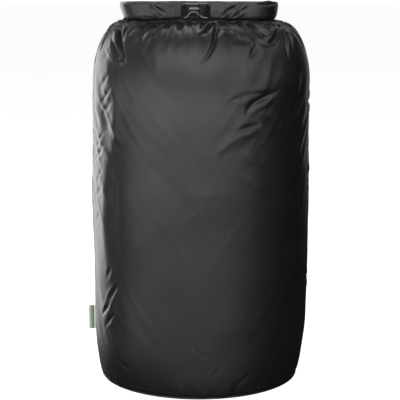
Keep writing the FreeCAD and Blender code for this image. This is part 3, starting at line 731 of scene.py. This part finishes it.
def seamStrip(name, bearing, width, low, high, proud, inset=0.0, material=clothBlack):
    # a band of the body's own cloth, lifted or set inside, and given a thickness
    bm = bmesh.new()
    bm.from_mesh(bagPiece.data)
    half = width / 2 / bag["radius"]
    away = []
    for face in bm.faces:
        middle = face.calc_center_median()
        turn = math.atan2(middle.x, -middle.y) - math.radians(bearing)
        turn = (turn + math.pi) % (2 * math.pi) - math.pi
        if abs(turn) > half or not low < middle.z < high:
            away.append(face)
    bmesh.ops.delete(bm, geom=away, context="FACES")
    bm.normal_update()
    inner = [(vertex, vertex.co - vertex.normal * inset) for vertex in bm.verts]
    for vertex, place in inner:
        vertex.co = place
    bmesh.ops.solidify(bm, geom=bm.faces[:], thickness=-proud)
    return newPiece(name, bm, material)


def addThread(bm, middle, along, out, long, thick):
    # one rounded stitch, laid along the cloth
    made = bmesh.ops.create_icosphere(bm, subdivisions=1, radius=1.0)["verts"]
    across = along.cross(out).normalized()
    turn = Matrix((along.normalized(), across, out.normalized())).transposed()
    bmesh.ops.scale(bm, verts=made, vec=(long / 2, thick, thick))
    bmesh.ops.transform(bm, verts=made, matrix=Matrix.Translation(middle) @ turn.to_4x4())


def stitchRows(name, cloth, rows):
    # running stitches on the nearest spots of the cloth to each row of places
    bm = bmesh.new()
    for row in rows:
        spots = []
        for place in row:
            _, spot, normal, _ = cloth.closest_point_on_mesh(Vector(place))
            spots.append((spot, normal))
        for (start, out), (end, _) in zip(spots[:-1], spots[1:]):
            addThread(bm, start + out * seams["stitchLift"], end - start, out, seams["stitchLong"],
                      seams["stitchThick"])
    placePiece(newPiece(name, bm, threadBlack), "bag", "thread")


sideSeam = seamStrip("side_seam_band", seams["sideBearing"], seams["sideWidth"], seams["sideLow"],
                     seams["sideHigh"], seams["sideProud"])
placePiece(sideSeam, "bag", "seam_cloth", "side_seam")
sideTape = seamStrip("side_seam_tape_band", seams["sideBearing"], seams["tapeWidth"], seams["sideLow"],
                     seams["sideHigh"], seams["tapeThick"], seams["tapeInset"], tapeGrey)
placePiece(sideTape, "bag", "seam_tape", "side_seam_tape")

levels = np.linspace(seams["sideLow"] + 0.006, seams["sideHigh"] - 0.012, seams["sideStitches"])
stitchRows("side_seam_stitches", sideSeam,
           [[(seams["sideOutside"], side * seams["sideRows"], level) for level in levels]
            for side in (-1, 1)])


def spinRing(bm, section, middle, level, steps):
    # stands a flat section up and spins it into a ring round the bag
    bmesh.ops.rotate(bm, verts=section, cent=(0, 0, 0), matrix=Matrix.Rotation(math.pi / 2, 3, "X"))
    bmesh.ops.translate(bm, verts=section, vec=(middle, 0, level))
    bmesh.ops.spin(bm, geom=bm.edges[:], cent=(0, 0, 0), axis=(0, 0, 1), angle=2 * math.pi, steps=steps,
                   use_merge=True)


def baseBead():
    # the bound edge of the base, a little uneven
    bm = bmesh.new()
    made = bmesh.ops.create_circle(bm, cap_ends=False, segments=14, radius=1.0)["verts"]
    bmesh.ops.scale(bm, verts=made, vec=(seams["beadOut"], seams["beadHigh"], 1))
    spinRing(bm, made, seams["beadRadius"], seams["beadHigh"] + 0.0001, 420)
    piece = newPiece("base_seam_binding", bm, clothBlack)
    points = readPoints(piece)
    swell = roundNoise(np.arctan2(points[:, 0], -points[:, 1]), 0.0, 22, 0, 2.0)
    points[:, :2] *= (1 + seams["beadUneven"] * swell)[:, None]
    points[:, 2] *= 1 + 0.10 * swell
    writePoints(piece, settle(points))
    placePiece(piece, "bag", "seam_cloth", "base_seam")


def baseTape():
    # the flat tape that seals the base seam from inside
    bm = bmesh.new()
    made = bmesh.ops.create_circle(bm, cap_ends=False, segments=4, radius=math.sqrt(0.5))["verts"]
    bmesh.ops.rotate(bm, verts=made, cent=(0, 0, 0), matrix=Matrix.Rotation(math.pi / 4, 3, "Z"))
    bmesh.ops.scale(bm, verts=made, vec=(seams["tapeWidth"], seams["tapeThick"], 1))
    middle = seams["beadRadius"] - seams["tapeFromBead"] - seams["tapeWidth"] / 2
    spinRing(bm, made, middle, seams["tapeLevel"], 192)
    piece = newPiece("base_seam_tape_ring", bm, tapeGrey, smooth=False)
    writePoints(piece, settle(readPoints(piece)))
    placePiece(piece, "bag", "seam_tape", "base_seam_tape")


baseBead()
baseTape()
turns = np.linspace(0, 2 * math.pi, seams["baseStitches"] + 1)
stitchRows("base_seam_stitches", bagPiece,
           [[(seams["baseStitchRadius"] * math.sin(turn), -seams["baseStitchRadius"] * math.cos(turn),
              ripples["dimpleLevel"]) for turn in turns]])


baseSheet = {
    "rings": [0.004] * 4 + [0.008] * 6 + [0.014] * 6,   # from the seam inwards
    "edgeStart": 0.135,
    "edgeWide": 0.045,
    "level": 0.0007,
    "pucker": 0.0010,
    "dish": 0.0008,
    "thick": 0.0005,
}


def baseCloth():
    # the round base: a dished sheet with small puckers where it meets the seam
    bm = bmesh.new()
    bmesh.ops.create_circle(bm, cap_ends=True, segments=192, radius=bag["baseRadius"])
    for width in baseSheet["rings"]:
        inner = [face for face in bm.faces if len(face.verts) > 4]
        bmesh.ops.inset_region(bm, faces=inner, thickness=width, use_even_offset=True)
    points = np.array([vertex.co[:] for vertex in bm.verts])
    reach = np.hypot(points[:, 0], points[:, 1])
    bearing = np.arctan2(points[:, 0], -points[:, 1])
    edge = np.clip((reach - baseSheet["edgeStart"]) / baseSheet["edgeWide"], 0, 1)
    pucker = np.array([noise.noise((b * 24, r * 60, 1.0)) for b, r in zip(bearing, reach)])
    broad = np.array([noise.noise((x * 14, y * 14, 5.0)) for x, y in points[:, :2]])
    lift = baseSheet["level"] + baseSheet["pucker"] * np.clip(pucker, 0, 1) * edge
    lift += baseSheet["dish"] * np.clip(broad, 0, 1) * (1 - edge)
    for vertex, z in zip(bm.verts, lift):
        vertex.co.z = z
    bmesh.ops.solidify(bm, geom=bm.faces[:], thickness=baseSheet["thick"])
    piece = newPiece("base_cloth", bm, clothBlack)
    writePoints(piece, settle(readPoints(piece)))
    placePiece(piece, "bag", "coated_nylon", "base_panel")


baseCloth()
print("seams made")


# the rolled closure: one band that runs behind the clip, and two arms that reach it from the sides
roll = {
    # half sizes of the section, along the roll and at an arm's tip, and how far the arms stop short
    "cloth": {"thick": 0.0096, "high": 0.0161, "tipThick": 0.0036, "tipHigh": 0.0128, "squareness": 3.6,
              "around": 88, "perMetre": 620, "short": 0.0},
    "strip": {"thick": 0.0008, "high": 0.0124, "tipThick": 0.0008, "tipHigh": 0.0110, "squareness": 9.0,
              "around": 20, "perMetre": 300, "short": 0.013},
    "middle": 0.6807,
    "leftLean": 0.0115,
    "rightLean": 0.0060,
    "taper": 0.034,
    "leftTip": -0.0350,
    "rightTip": 0.0168,
    "blendBefore": 0.031,    # the cloth starts to bend this far before a hinge, and ends after it
    "blendAfter": 0.015,
    "layerGap": 0.0052,      # between the fine lines of the rolled layers
    "layerDeep": 0.0010,
    "uneven": 0.0009,
}
quarter = ringRadius * math.pi / 2


def ringPlace(part, run):
    # centre line of the roll and the way out of it; run starts at a bend's apex
    if part == "right":
        x, y, outX, outY = ringPlace("left", run)
        return rightBend - (x - leftBend), y, -outX, outY
    if part == "left":
        turn = math.pi + np.minimum(run, quarter) / ringRadius
        straight = np.maximum(run - quarter, 0)
    else:
        turn = math.pi - np.minimum(run, quarter) / ringRadius
        straight = np.clip(run - quarter, 0, rightBend - leftBend)
        last = np.maximum(run - quarter - (rightBend - leftBend), 0)
        turn = turn - last / ringRadius
    outX, outY = np.cos(turn), np.sin(turn)
    return leftBend + straight + ringRadius * outX, ringRadius * outY, outX, outY


def rollLength(part):
    if part == "left":
        return quarter + roll["leftTip"] - leftBend
    if part == "right":
        return quarter + rightBend - roll["rightTip"]
    return 2 * quarter + rightBend - leftBend


# Folds on the roll as (x, z) on its face, with an inset where the face turns in, then depth, width,
# ridge and lean. The front's run from the left end to the right one.
rollFolds = {
    "front": {
        "leftSlantFirst": ([(-0.0950, 0.6925), (-0.0850, 0.6835), (-0.0700, 0.6690)],
                           0.0042, 0.0023, 0.5, 0.3),
        "leftSlantSecond": ([(-0.0885, 0.6935), (-0.0790, 0.6850), (-0.0640, 0.6745)],
                            0.0040, 0.0023, 0.5, 0.3),
        "leftPeak": ([(-0.0930, 0.6965), (-0.0850, 0.6955), (-0.0780, 0.6925)], -0.0018, 0.0026, 0.3),
        "leftTopLine": ([(-0.1370, 0.6935, 0.01), (-0.1180, 0.6925), (-0.1010, 0.6932)], 0.0016, 0.0016, 0.6),
        "leftTopLineLow": ([(-0.1320, 0.6905, 0.006), (-0.1150, 0.6900)], 0.0012, 0.0015, 0.6),
        "nearClip": ([(-0.0600, 0.6900, 0.002), (-0.0480, 0.6860, 0.004)], 0.0016, 0.0024, 0.5),
        "lowHem": ([(-0.1250, 0.6720, 0.002), (-0.1050, 0.6697), (-0.0800, 0.6685)], 0.0008, 0.0022, 0.7),
        "rightSlantFirst": ([(0.0700, 0.6925), (0.0560, 0.6850), (0.0450, 0.6780), (0.0348, 0.6680)],
                            0.0042, 0.0024, 0.5, -0.3),
        "rightSlantSecond": ([(0.0880, 0.6910), (0.0740, 0.6810), (0.0560, 0.6680)],
                             0.0044, 0.0024, 0.5, -0.3),
        "rightSlantThird": ([(0.0800, 0.6930), (0.0660, 0.6840), (0.0510, 0.6730)],
                            0.0026, 0.0018, 0.5, -0.3),
        "rightTopLight": ([(0.0380, 0.6925), (0.0520, 0.6955), (0.0720, 0.6960)], -0.0022, 0.0042, 0.2),
        "pleatA": ([(0.0190, 0.6930, 0.005), (0.0200, 0.6820, 0.005), (0.0225, 0.6700, 0.005)],
                   0.0016, 0.0011, 0.7),
        "pleatB": ([(0.0222, 0.6935, 0.004), (0.0236, 0.6820, 0.004), (0.0262, 0.6700, 0.004)],
                   0.0017, 0.0011, 0.7),
        "pleatC": ([(0.0256, 0.6935, 0.003), (0.0272, 0.6820, 0.003), (0.0300, 0.6690, 0.003)],
                   0.0018, 0.0012, 0.7),
        "pleatD": ([(0.0292, 0.6930, 0.002), (0.0312, 0.6830, 0.002), (0.0340, 0.6720, 0.002)],
                   0.0016, 0.0012, 0.7),
        "pleatE": ([(0.0330, 0.6925, 0.001), (0.0350, 0.6850, 0.001), (0.0372, 0.6770, 0.001)],
                   0.0012, 0.0012, 0.7),
        "rightHollow": ([(0.1010, 0.6945, 0.0041), (0.1180, 0.6950, 0.0126), (0.1310, 0.6950, 0.0276),
                         (0.1385, 0.6950, 0.0476)], 0.0085, 0.0034, 0.35),
        "rightHollowLow": ([(0.1080, 0.6905, 0.0026), (0.1180, 0.6900, 0.0066)], -0.0012, 0.0020, 0.3),
    },
    "back": {
        "leftSlant": ([(-0.0500, 0.6930), (-0.0380, 0.6830), (-0.0290, 0.6690)], 0.0034, 0.0026, 0.5, 0.3),
        "rightSlant": ([(0.0430, 0.6930), (0.0330, 0.6820), (0.0200, 0.6700)], 0.0034, 0.0026, 0.5, -0.3),
        "leftBend": ([(-0.1260, 0.6920, 0.0116), (-0.1190, 0.6800, 0.0076), (-0.1150, 0.6690, 0.0056)],
                     0.0030, 0.0028, 0.5),
        "rightBend": ([(0.1180, 0.6920, 0.0116), (0.1120, 0.6800, 0.0086), (0.1010, 0.6690, 0.0036)],
                      0.0030, 0.0028, 0.5),
        "hem": ([(-0.0900, 0.6725), (-0.0100, 0.6715), (0.0800, 0.6730)], 0.0009, 0.0018, 0.7),
    },
}


def onRoll(path, face):
    outside = ringRadius + roll["cloth"]["thick"]
    way = -1 if face == "front" else 1
    return rounded([(x, way * (outside - (inset[0] if inset else 0)), z) for x, z, *inset in path])


def rollShell(name, part, layer, material):
    # a closed tube with a squarish section along one stretch of the roll
    form = roll[layer]
    length = rollLength(part) - (form["short"] if part != "back" else 0)
    bm = bmesh.new()
    bmesh.ops.create_grid(bm, x_segments=int(length * form["perMetre"]), y_segments=form["around"], size=1.0)
    flat = np.array([vertex.co[:] for vertex in bm.verts])
    run = (flat[:, 0] + 1) / 2 * length
    turn = (flat[:, 1] + 1) * math.pi
    power = 2 / form["squareness"]
    sideways = np.sign(np.cos(turn)) * np.abs(np.cos(turn)) ** power
    upward = np.sign(np.sin(turn)) * np.abs(np.sin(turn)) ** power
    thick = np.full(len(run), form["thick"])
    high = np.full(len(run), form["high"])
    # the ends of the roll lean in towards their foot
    startLean = np.cos(np.minimum(run / ringRadius, math.pi / 2)) ** 2
    if part == "back":
        endLean = np.cos(np.minimum((length - run) / ringRadius, math.pi / 2)) ** 2
        lean = roll["leftLean"] * startLean + roll["rightLean"] * endLean
    else:
        lean = roll[part + "Lean"] * startLean
        tip = np.clip((run - length + roll["taper"]) / roll["taper"], 0, 1) ** 1.6
        thick += (form["tipThick"] - thick) * tip
        high += (form["tipHigh"] - high) * tip
    x, y, outX, outY = ringPlace(part, run)
    out = thick * sideways + lean * (upward - 1) / 2
    points = np.stack([x + outX * out, y + outY * out, roll["middle"] + high * upward], axis=1)
    for vertex, place in zip(bm.verts, points):
        vertex.co = place
    bmesh.ops.remove_doubles(bm, verts=bm.verts, dist=1e-6)
    piece = newPiece(name, bm, material)
    if layer == "cloth":
        foldRoll(piece)
    bm = bmesh.new()
    bm.from_mesh(piece.data)
    bmesh.ops.holes_fill(bm, edges=[edge for edge in bm.edges if edge.is_boundary], sides=0)
    bmesh.ops.recalc_face_normals(bm, faces=bm.faces)
    bm.to_mesh(piece.data)
    bm.free()
    return piece


def foldRoll(piece):
    # the listed folds, then the fine lines of the layers and a soft unevenness
    points, normals = readPoints(piece), readNormals(piece)
    shift = np.zeros(len(points))
    for face, group in rollFolds.items():
        for path, depth, width, ridge, *lean in group.values():
            shift += creaseShift(points, normals, onRoll(path, face), depth, width, ridge, *lean)
    # layers of cloth show as fine lines along the top and the bottom of the roll
    centreX = np.clip(points[:, 0], leftBend, rightBend)
    reach = np.hypot(points[:, 0] - centreX, points[:, 1])
    upper = np.clip(np.abs(normals[:, 2]), 0, 1) ** 2
    winding = (reach - ringRadius) / roll["layerGap"] + 0.25 * np.sin(points[:, 0] * 40)
    fromLine = np.abs(winding % 1 - 0.5) * 2
    shift -= roll["layerDeep"] * np.exp(-(fromLine / 0.28) ** 2) * upper
    soft = np.array([noise.noise(Vector(p) * 28.0) + 0.5 * noise.noise(Vector(p) * 70.0) for p in points])
    shift += roll["uneven"] * soft
    writePoints(piece, points + normals * shift[:, None])


placePiece(rollShell("roll_band", "back", "cloth", clothBlack), "bag", "coated_nylon",
           "roll_back", "roll_bend_left", "roll_bend_right")
placePiece(rollShell("mouth_strip_band", "back", "strip", stripBlack), "bag", "stiff_strip",
           "mouth_strip_back", "mouth_strip_bend_left", "mouth_strip_bend_right")

armPieces = {}
for side, joint, away in (("left", "closure_swing", -1), ("right", "right_arm_swing", 1)):
    armPieces[side] = rollShell("roll_arm_cloth_" + side, side, "cloth", clothBlack)
    armStrip = rollShell("mouth_strip_arm_" + side, side, "strip", stripBlack)
    for piece, node, slot in ((armPieces[side], "roll_arm_" + side, "coated_nylon"),
                              (armStrip, "mouth_strip_" + side, "stiff_strip")):
        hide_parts(node)
        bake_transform(piece)
print("roll made")


# cloth sleeves that take the arms round the clip's bars, each with a bar of stitches
sleeve = {
    "low": 0.6712,
    "high": 0.6908,
    "outer": 0.0035,
    "bore": 0.0021,
    "rings": 16,
    "waist": 0.0022,
    "tail": 0.004,           # how far it runs on inside the arm
    "gatherGap": 0.0026,
    "gatherDeep": 0.00012,
}


def clothSleeve(side, swivel):
    # a loop round the bar drawn out to a flat tail inside the arm
    barX = jointPlace[swivel].x
    tipX = roll[side + "Tip"]
    bm = bmesh.new()
    away = 1 if tipX > barX else -1
    outer = bmesh.ops.create_circle(bm, cap_ends=False, segments=40, radius=sleeve["outer"])["verts"]
    for vertex in outer:
        reach = max(0, vertex.co.x * away) / sleeve["outer"]
        flat = min(1, reach * 2)
        vertex.co.x += away * (abs(tipX - barX) + sleeve["tail"]) * reach ** 2
        vertex.co.y *= 1 - (1 - sleeve["waist"] / sleeve["outer"]) * flat
        vertex.co.y = math.copysign(max(abs(vertex.co.y), sleeve["waist"] * flat), vertex.co.y)
    bmesh.ops.create_circle(bm, cap_ends=False, segments=40, radius=sleeve["bore"])
    bmesh.ops.bridge_loops(bm, edges=bm.edges[:])
    bmesh.ops.translate(bm, verts=bm.verts, vec=(barX, clipCentre.y, sleeve["low"]))
    step = (sleeve["high"] - sleeve["low"]) / sleeve["rings"]
    top = bm.faces[:]
    for _ in range(sleeve["rings"]):
        made = bmesh.ops.extrude_face_region(bm, geom=top, use_keep_orig=(_ == 0))["geom"]
        top = [item for item in made if isinstance(item, bmesh.types.BMFace)]
        bmesh.ops.translate(bm, verts=[item for item in made if isinstance(item, bmesh.types.BMVert)],
                            vec=(0, 0, step))
    for vertex in bm.verts:
        gather = math.sin((vertex.co.z - sleeve["low"]) * 2 * math.pi / sleeve["gatherGap"])
        out = vertex.co - Vector((barX, clipCentre.y, vertex.co.z))
        if out.length > sleeve["bore"] + 0.0002:
            vertex.co.y += math.copysign(sleeve["gatherDeep"] * gather, out.y)
    piece = newPiece("webbing_loop_" + side, bm, webbingBlack)
    placePiece(piece, side + "_arm", "webbing", "webbing_tab_" + side)


clothSleeve("left", "socket_swivel")
clothSleeve("right", "plug_swivel")


tack = {
    "left": -0.0430,
    "right": 0.0420,
    "low": 0.6722,
    "zigs": 19,
    "step": 0.00098,
    "halfWide": 0.0022,
    "outside": -0.07,        # a plane in front of the arms
    "thick": 0.00026,
    "overlap": 1.1,
    "lift": 0.0001,
}


def bartack(side):
    # a dense zigzag of thread through the arm
    arm = armPieces[side]
    startX, endX = tack[side] - tack["halfWide"], tack[side] + tack["halfWide"]
    rows = []
    for zig in range(tack["zigs"]):
        z = tack["low"] + zig * tack["step"]
        rows.append(((startX, z), (endX, z + tack["step"] / 2)))
        rows.append(((endX, z + tack["step"] / 2), (startX, z + tack["step"])))
    bm = bmesh.new()
    for start, end in rows:
        _, a, out, _ = arm.closest_point_on_mesh(Vector((start[0], tack["outside"], start[1])))
        _, b, _, _ = arm.closest_point_on_mesh(Vector((end[0], tack["outside"], end[1])))
        addThread(bm, (a + b) / 2 + out * tack["lift"], b - a, out, (b - a).length * tack["overlap"],
                  tack["thick"])
    piece = newPiece("bartack_threads_" + side, bm, threadBlack)
    placePiece(piece, side + "_arm", "thread", "bartack_" + side)


bartack("left")
bartack("right")
print("sleeves made")


# the clip: the moulded shapes with softened edges, ribs round the release windows and a thumb pad
clip = {
    "edge": 0.0006,
    "ribRadius": 0.0014,
    "ribRise": 0.0002,
    # places on a face as (x, z) from the clip's centre, and how far things stand in or out of it
    "grooveLow": (-0.0112, -0.0008),
    "grooveHigh": (0.0045, 0.0022),
    "grooveDeep": 0.0013,
    "padLow": (-0.0122, 0.0024),
    "padHigh": (0.0056, 0.0066),
    "padProud": 0.0009,
    "padEdge": 0.0008,
    "gripFromEnd": 0.0092,
    "gripGap": 0.0017,
    "gripHalfWide": 0.00045,
    "gripHalfHigh": 0.0080,
    "gripProud": 0.0004,
    "gripEdge": 0.0003,
}


def faceBox(bm, side, low, high, proud):
    # a box through one face of the clip, with corners as (x, z) from the clip's centre
    face = clipCentre.y + side * clipThick / 2
    boxMesh(bm, (clipCentre.x + low[0], face - proud, clipCentre.z + low[1]),
            (clipCentre.x + high[0], face + proud, clipCentre.z + high[1]))


def shellPiece(part):
    # a copy of a moulded half with rounded edges; the socket has a groove in each face
    bm = bmesh.new()
    bm.from_mesh(nodes["buckle_" + part].data)
    bmesh.ops.remove_doubles(bm, verts=bm.verts, dist=1e-5)
    bmesh.ops.dissolve_limit(bm, angle_limit=math.radians(1), verts=bm.verts[:], edges=bm.edges[:])
    piece = newPiece("buckle_%s_shell" % part, bm, buckleBlack)
    if part == "socket":
        cutter = bmesh.new()
        for side in (-1, 1):
            faceBox(cutter, side, clip["grooveLow"], clip["grooveHigh"], clip["grooveDeep"])
        tool = newPiece("groove_tool", cutter, buckleBlack)
        cut = piece.modifiers.new("groove", "BOOLEAN")
        cut.operation = "DIFFERENCE"
        cut.object = tool
        applyModifiers(piece)
        bpy.data.objects.remove(tool)
    soften = piece.modifiers.new("soften", "BEVEL")
    soften.width = clip["edge"]
    soften.segments = 3
    soften.limit_method = "ANGLE"
    soften.angle_limit = math.radians(35)
    soften.harden_normals = False
    applyModifiers(piece)
    for polygon in piece.data.polygons:
        polygon.use_smooth = True
    placePiece(piece, part, "buckle_plastic", "buckle_" + part)


def sweep(bm, path, radius, segments=10):
    # a round rib along a run of points
    path = [Vector(p) for p in path]
    rings = []
    for i, place in enumerate(path):
        along = (path[min(i + 1, len(path) - 1)] - path[max(i - 1, 0)]).normalized()
        made = bmesh.ops.create_circle(bm, cap_ends=False, segments=segments, radius=radius)["verts"]
        turn = Vector((0, 0, 1)).rotation_difference(along).to_matrix().to_4x4()
        bmesh.ops.transform(bm, verts=made, matrix=Matrix.Translation(place) @ turn)
        rings.append(made)
    for a, b in zip(rings[:-1], rings[1:]):
        edges = [e for e in bm.edges if all(v in a or v in b for v in e.verts)
                 and (all(v in a for v in e.verts) or all(v in b for v in e.verts))]
        bmesh.ops.bridge_loops(bm, edges=edges)
    for end in (rings[0], rings[-1]):
        bmesh.ops.contextual_create(bm, geom=end)


# ribs on the clip's faces as (x, z) from its centre: a low bridge over the lower release window that
# runs out on the plug, and a waved bar along the top
ribRuns = {
    "socket": (((-0.0214, -0.0117), (-0.0166, -0.0114), (-0.0130, -0.0062), (-0.0092, -0.0018),
                (-0.0070, -0.0014), (-0.0014, -0.0014), (0.0008, -0.0018), (0.0030, -0.0040),
                (0.0054, -0.0064)),
               ((-0.0200, 0.0126), (-0.0125, 0.0136), (-0.0075, 0.0112), (-0.0035, 0.0136), (0.0010, 0.0112),
                (0.0040, 0.0132), (0.0055, 0.0130))),
    "plug": (((0.0068, -0.0074), (0.0098, -0.0102), (0.0130, -0.0116), (0.0212, -0.0118)),
             ((0.0068, 0.0128), (0.0120, 0.0134), (0.0205, 0.0128))),
}


def ribPiece(part):
    bm = bmesh.new()
    for side in (-1, 1):
        level = clipCentre.y + side * (clipThick / 2 + clip["ribRise"])
        for run in ribRuns[part]:
            path = rounded([(clipCentre.x + x, level, clipCentre.z + z) for x, z in run], 6)
            sweep(bm, path, clip["ribRadius"])
    # the ribs are painted paler, a painted highlight on their rounded edges
    placePiece(newPiece(part + "_ribs", bm, buckleHighlight), part, "buckle_plastic")


def raisedPad(name, body, side, low, high, proud, edge, material):
    bm = bmesh.new()
    faceBox(bm, side, low, high, proud)
    bevelEdges(bm, edge, 4)
    placePiece(newPiece(name, bm, material), body, "buckle_plastic")


shellPiece("socket")
shellPiece("plug")
ribPiece("socket")
ribPiece("plug")
# the socket's thumb pads take the paler plastic, a painted highlight; the plug's grips keep the clip's own
# black
for side, face in ((-1, "front"), (1, "back")):
    raisedPad("socket_pad_" + face, "socket", side, clip["padLow"], clip["padHigh"], clip["padProud"],
              clip["padEdge"], buckleHighlight)
    for count in range(3):
        x = plugHigh.x - clip["gripFromEnd"] + count * clip["gripGap"] - clipCentre.x
        raisedPad("plug_grip_%s_%d" % (face, count), "plug", side,
                  (x - clip["gripHalfWide"], -clip["gripHalfHigh"]),
                  (x + clip["gripHalfWide"], clip["gripHalfHigh"]), clip["gripProud"], clip["gripEdge"],
                  buckleBlack)
print("clip made")


# the woven tag at the side seam
tag = {
    "root": 0.2026,
    "out": 0.0102,
    "halfGap": 0.00042,      # half the space between its two leaves
    "thick": 0.0003,
    "wave": 0.0005,
    "pale": (0.57, 0.66, 0.53, 1),
    "paleShade": (0.42, 0.50, 0.38),
    "green": (0.16, 0.25, 0.10, 1),
    "greenLight": (0.30, 0.38, 0.22, 1),
    "dark": (0.045, 0.065, 0.035, 1),
    "marks": 46.0,
    "greenFrom": (-0.2088, -0.2078),
    "darkFrom": (-0.2046, -0.2038),
}
tagLow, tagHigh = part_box("woven_label")


def tagWeave():
    # pale outer half, green inner half with plain tick marks, and a dark rim at the seam
    material = wovenCloth("tagWeave", tag["paleShade"], tag["pale"][:3], 1500.0, 0.00015, 0.65, sheen=0.3)
    tree = material.node_tree
    color = tree.nodes["Principled BSDF"].inputs["Base Color"]
    pale = color.links[0].from_socket
    apart = tree.nodes.new("ShaderNodeSeparateXYZ")
    link(tree, tree.nodes["where"].outputs["Object"], apart.inputs[0])
    ticks = pattern(tree, "ShaderNodeTexWave", Scale=tag["marks"], Distortion=2.0)
    ticks.bands_direction = "Z"
    green = mixColors(tree, ticks.outputs["Fac"], tag["green"], tag["greenLight"])
    inner = spread(tree, apart.outputs["X"], From_Min=tag["greenFrom"][0], From_Max=tag["greenFrom"][1])
    rim = spread(tree, apart.outputs["X"], From_Min=tag["darkFrom"][0], From_Max=tag["darkFrom"][1])
    link(tree, mixColors(tree, rim, mixColors(tree, inner, pale, green), tag["dark"]), color)
    return material


def tagPiece():
    # a ribbon folded over at its outer edge, both ends sewn into the seam
    bm = bmesh.new()
    bmesh.ops.create_grid(bm, x_segments=40, y_segments=26, size=1.0)
    for vertex in bm.verts:
        run, up = vertex.co.x, (vertex.co.y + 1) / 2
        leaf = math.copysign(1, run) * tag["halfGap"] * min(1, abs(run) / 0.06)
        x = -tag["root"] - tag["out"] * (1 - abs(run) ** 1.15)
        wave = tag["wave"] * math.sin(up * 5.1 + 0.6) * (1 - abs(run))
        vertex.co = (x, leaf + wave, tagLow.z + up * (tagHigh.z - tagLow.z))
    bmesh.ops.solidify(bm, geom=bm.faces[:], thickness=tag["thick"])
    placePiece(newPiece("woven_tag", bm, tagWeave()), "label", "woven_tag", "woven_label")


tagPiece()
print("tag made")

# the nodes that stay in sight take these finishes
seenNodes = {
    "label_stitches": threadBlack,
    "buckle_prong_upper": buckleBlack,
    "buckle_prong_lower": buckleBlack,
}
for name, material in seenNodes.items():
    nodes[name].data.materials.clear()
    nodes[name].data.materials.append(material)

studio = {
    "cameraBack": 2.44,
    "cameraHigh": 0.7458,
    "cameraSide": -0.0018,
    "pitch": 9.70,
    "lens": 118.76,
    "sensor": 36.0,
    "farthest": 100,
    "skyGlow": 0.012,
    "floorGlow": 0.965,
    "floorTint": (0.42, 0.42, 0.42, 1),
    "floorRough": 0.95,
    "floorHalf": 30.0,
    "floorDrop": 0.0005,
    "lampsRound": 0.36,      # height of the point that every lamp faces
    "lamps": {
        # bearing from the front, elevation, distance, width, height, power
        "frontBox": (-6, 14, 3.2, 4.8, 2.4, 74.0),
        "leftWing": (-60, 8, 3.0, 2.6, 2.8, 42.0),
        "rightWing": (46, 14, 3.0, 1.4, 2.2, 13.0),
        "topFront": (-12, 62, 2.8, 2.6, 1.4, 34.0),
        "floorBounce": (2, -21, 3.0, 4.2, 1.5, 12.0),
        "shoulderRight": (62, 50, 2.8, 1.8, 1.0, 10.0),
        "rearLeft": (-137, 12, 2.3, 1.3, 2.8, 42.0),
        "rearRight": (150, 10, 2.4, 0.4, 1.6, 2.0),
        "rearTop": (182, 52, 2.8, 1.6, 1.0, 14.0),
    },
}


def areaLight(name, bearing, elevation, distance, width, height, power):
    # a soft box on a sphere round the middle of the bag
    data = bpy.data.lights.new(name, "AREA")
    data.shape = "RECTANGLE"
    data.size, data.size_y = width, height
    data.energy = power
    lamp = bpy.data.objects.new(name, data)
    bpy.context.scene.collection.objects.link(lamp)
    b, e = math.radians(bearing), math.radians(elevation)
    way = Vector((math.sin(b) * math.cos(e), -math.cos(b) * math.cos(e), math.sin(e)))
    lamp.location = Vector((0, 0, studio["lampsRound"])) + way * distance
    lamp.rotation_euler = (-way).to_track_quat("-Z", "Y").to_euler()
    lamp.visible_camera = False


for name, values in studio["lamps"].items():
    areaLight(name, *values)

# the camera sees a white backdrop, while the cloth gets only a faint glow from it
world = bpy.data.worlds.new("studio")
bpy.context.scene.world = world
world.use_nodes = True
sky = world.node_tree
backdrop = sky.nodes["Background"]
backdrop.inputs["Color"].default_value = (1, 1, 1, 1)
dim = sky.nodes.new("ShaderNodeBackground")
dim.inputs["Color"].default_value = (1, 1, 1, 1)
dim.inputs["Strength"].default_value = studio["skyGlow"]
seen = sky.nodes.new("ShaderNodeLightPath")
choose = sky.nodes.new("ShaderNodeMixShader")
sky.links.new(seen.outputs["Is Camera Ray"], choose.inputs[0])
sky.links.new(dim.outputs[0], choose.inputs[1])
sky.links.new(backdrop.outputs[0], choose.inputs[2])
sky.links.new(choose.outputs[0], sky.nodes["World Output"].inputs["Surface"])

floorMaterial, _, floorShader = shaderNodes("paleFloor")
floorShader.inputs["Base Color"].default_value = studio["floorTint"]
floorShader.inputs["Roughness"].default_value = studio["floorRough"]
floorShader.inputs["Specular IOR Level"].default_value = 0.0
floorShader.inputs["Emission Color"].default_value = (1, 1, 1, 1)
floorShader.inputs["Emission Strength"].default_value = studio["floorGlow"]
bmFloor = bmesh.new()
bmesh.ops.create_grid(bmFloor, x_segments=2, y_segments=2, size=studio["floorHalf"])
floor = newPiece("floor", bmFloor, floorMaterial, smooth=False, recalc=False)
floor.data.transform(Matrix.Translation((0, 0, -studio["floorDrop"])))
floor.visible_glossy = False
floor.visible_diffuse = False
floor.visible_shadow = False

cameraData = bpy.data.cameras.new("camera")
cameraData.lens = studio["lens"]
cameraData.sensor_width = studio["sensor"]
cameraData.clip_end = studio["farthest"]
camera = bpy.data.objects.new("camera", cameraData)
bpy.context.scene.collection.objects.link(camera)
camera.location = (studio["cameraSide"], -studio["cameraBack"], studio["cameraHigh"])
camera.rotation_euler = (math.radians(90 - studio["pitch"]), 0, 0)
bpy.context.scene.camera = camera
bpy.context.scene.view_settings.view_transform = "Standard"
print("studio set")
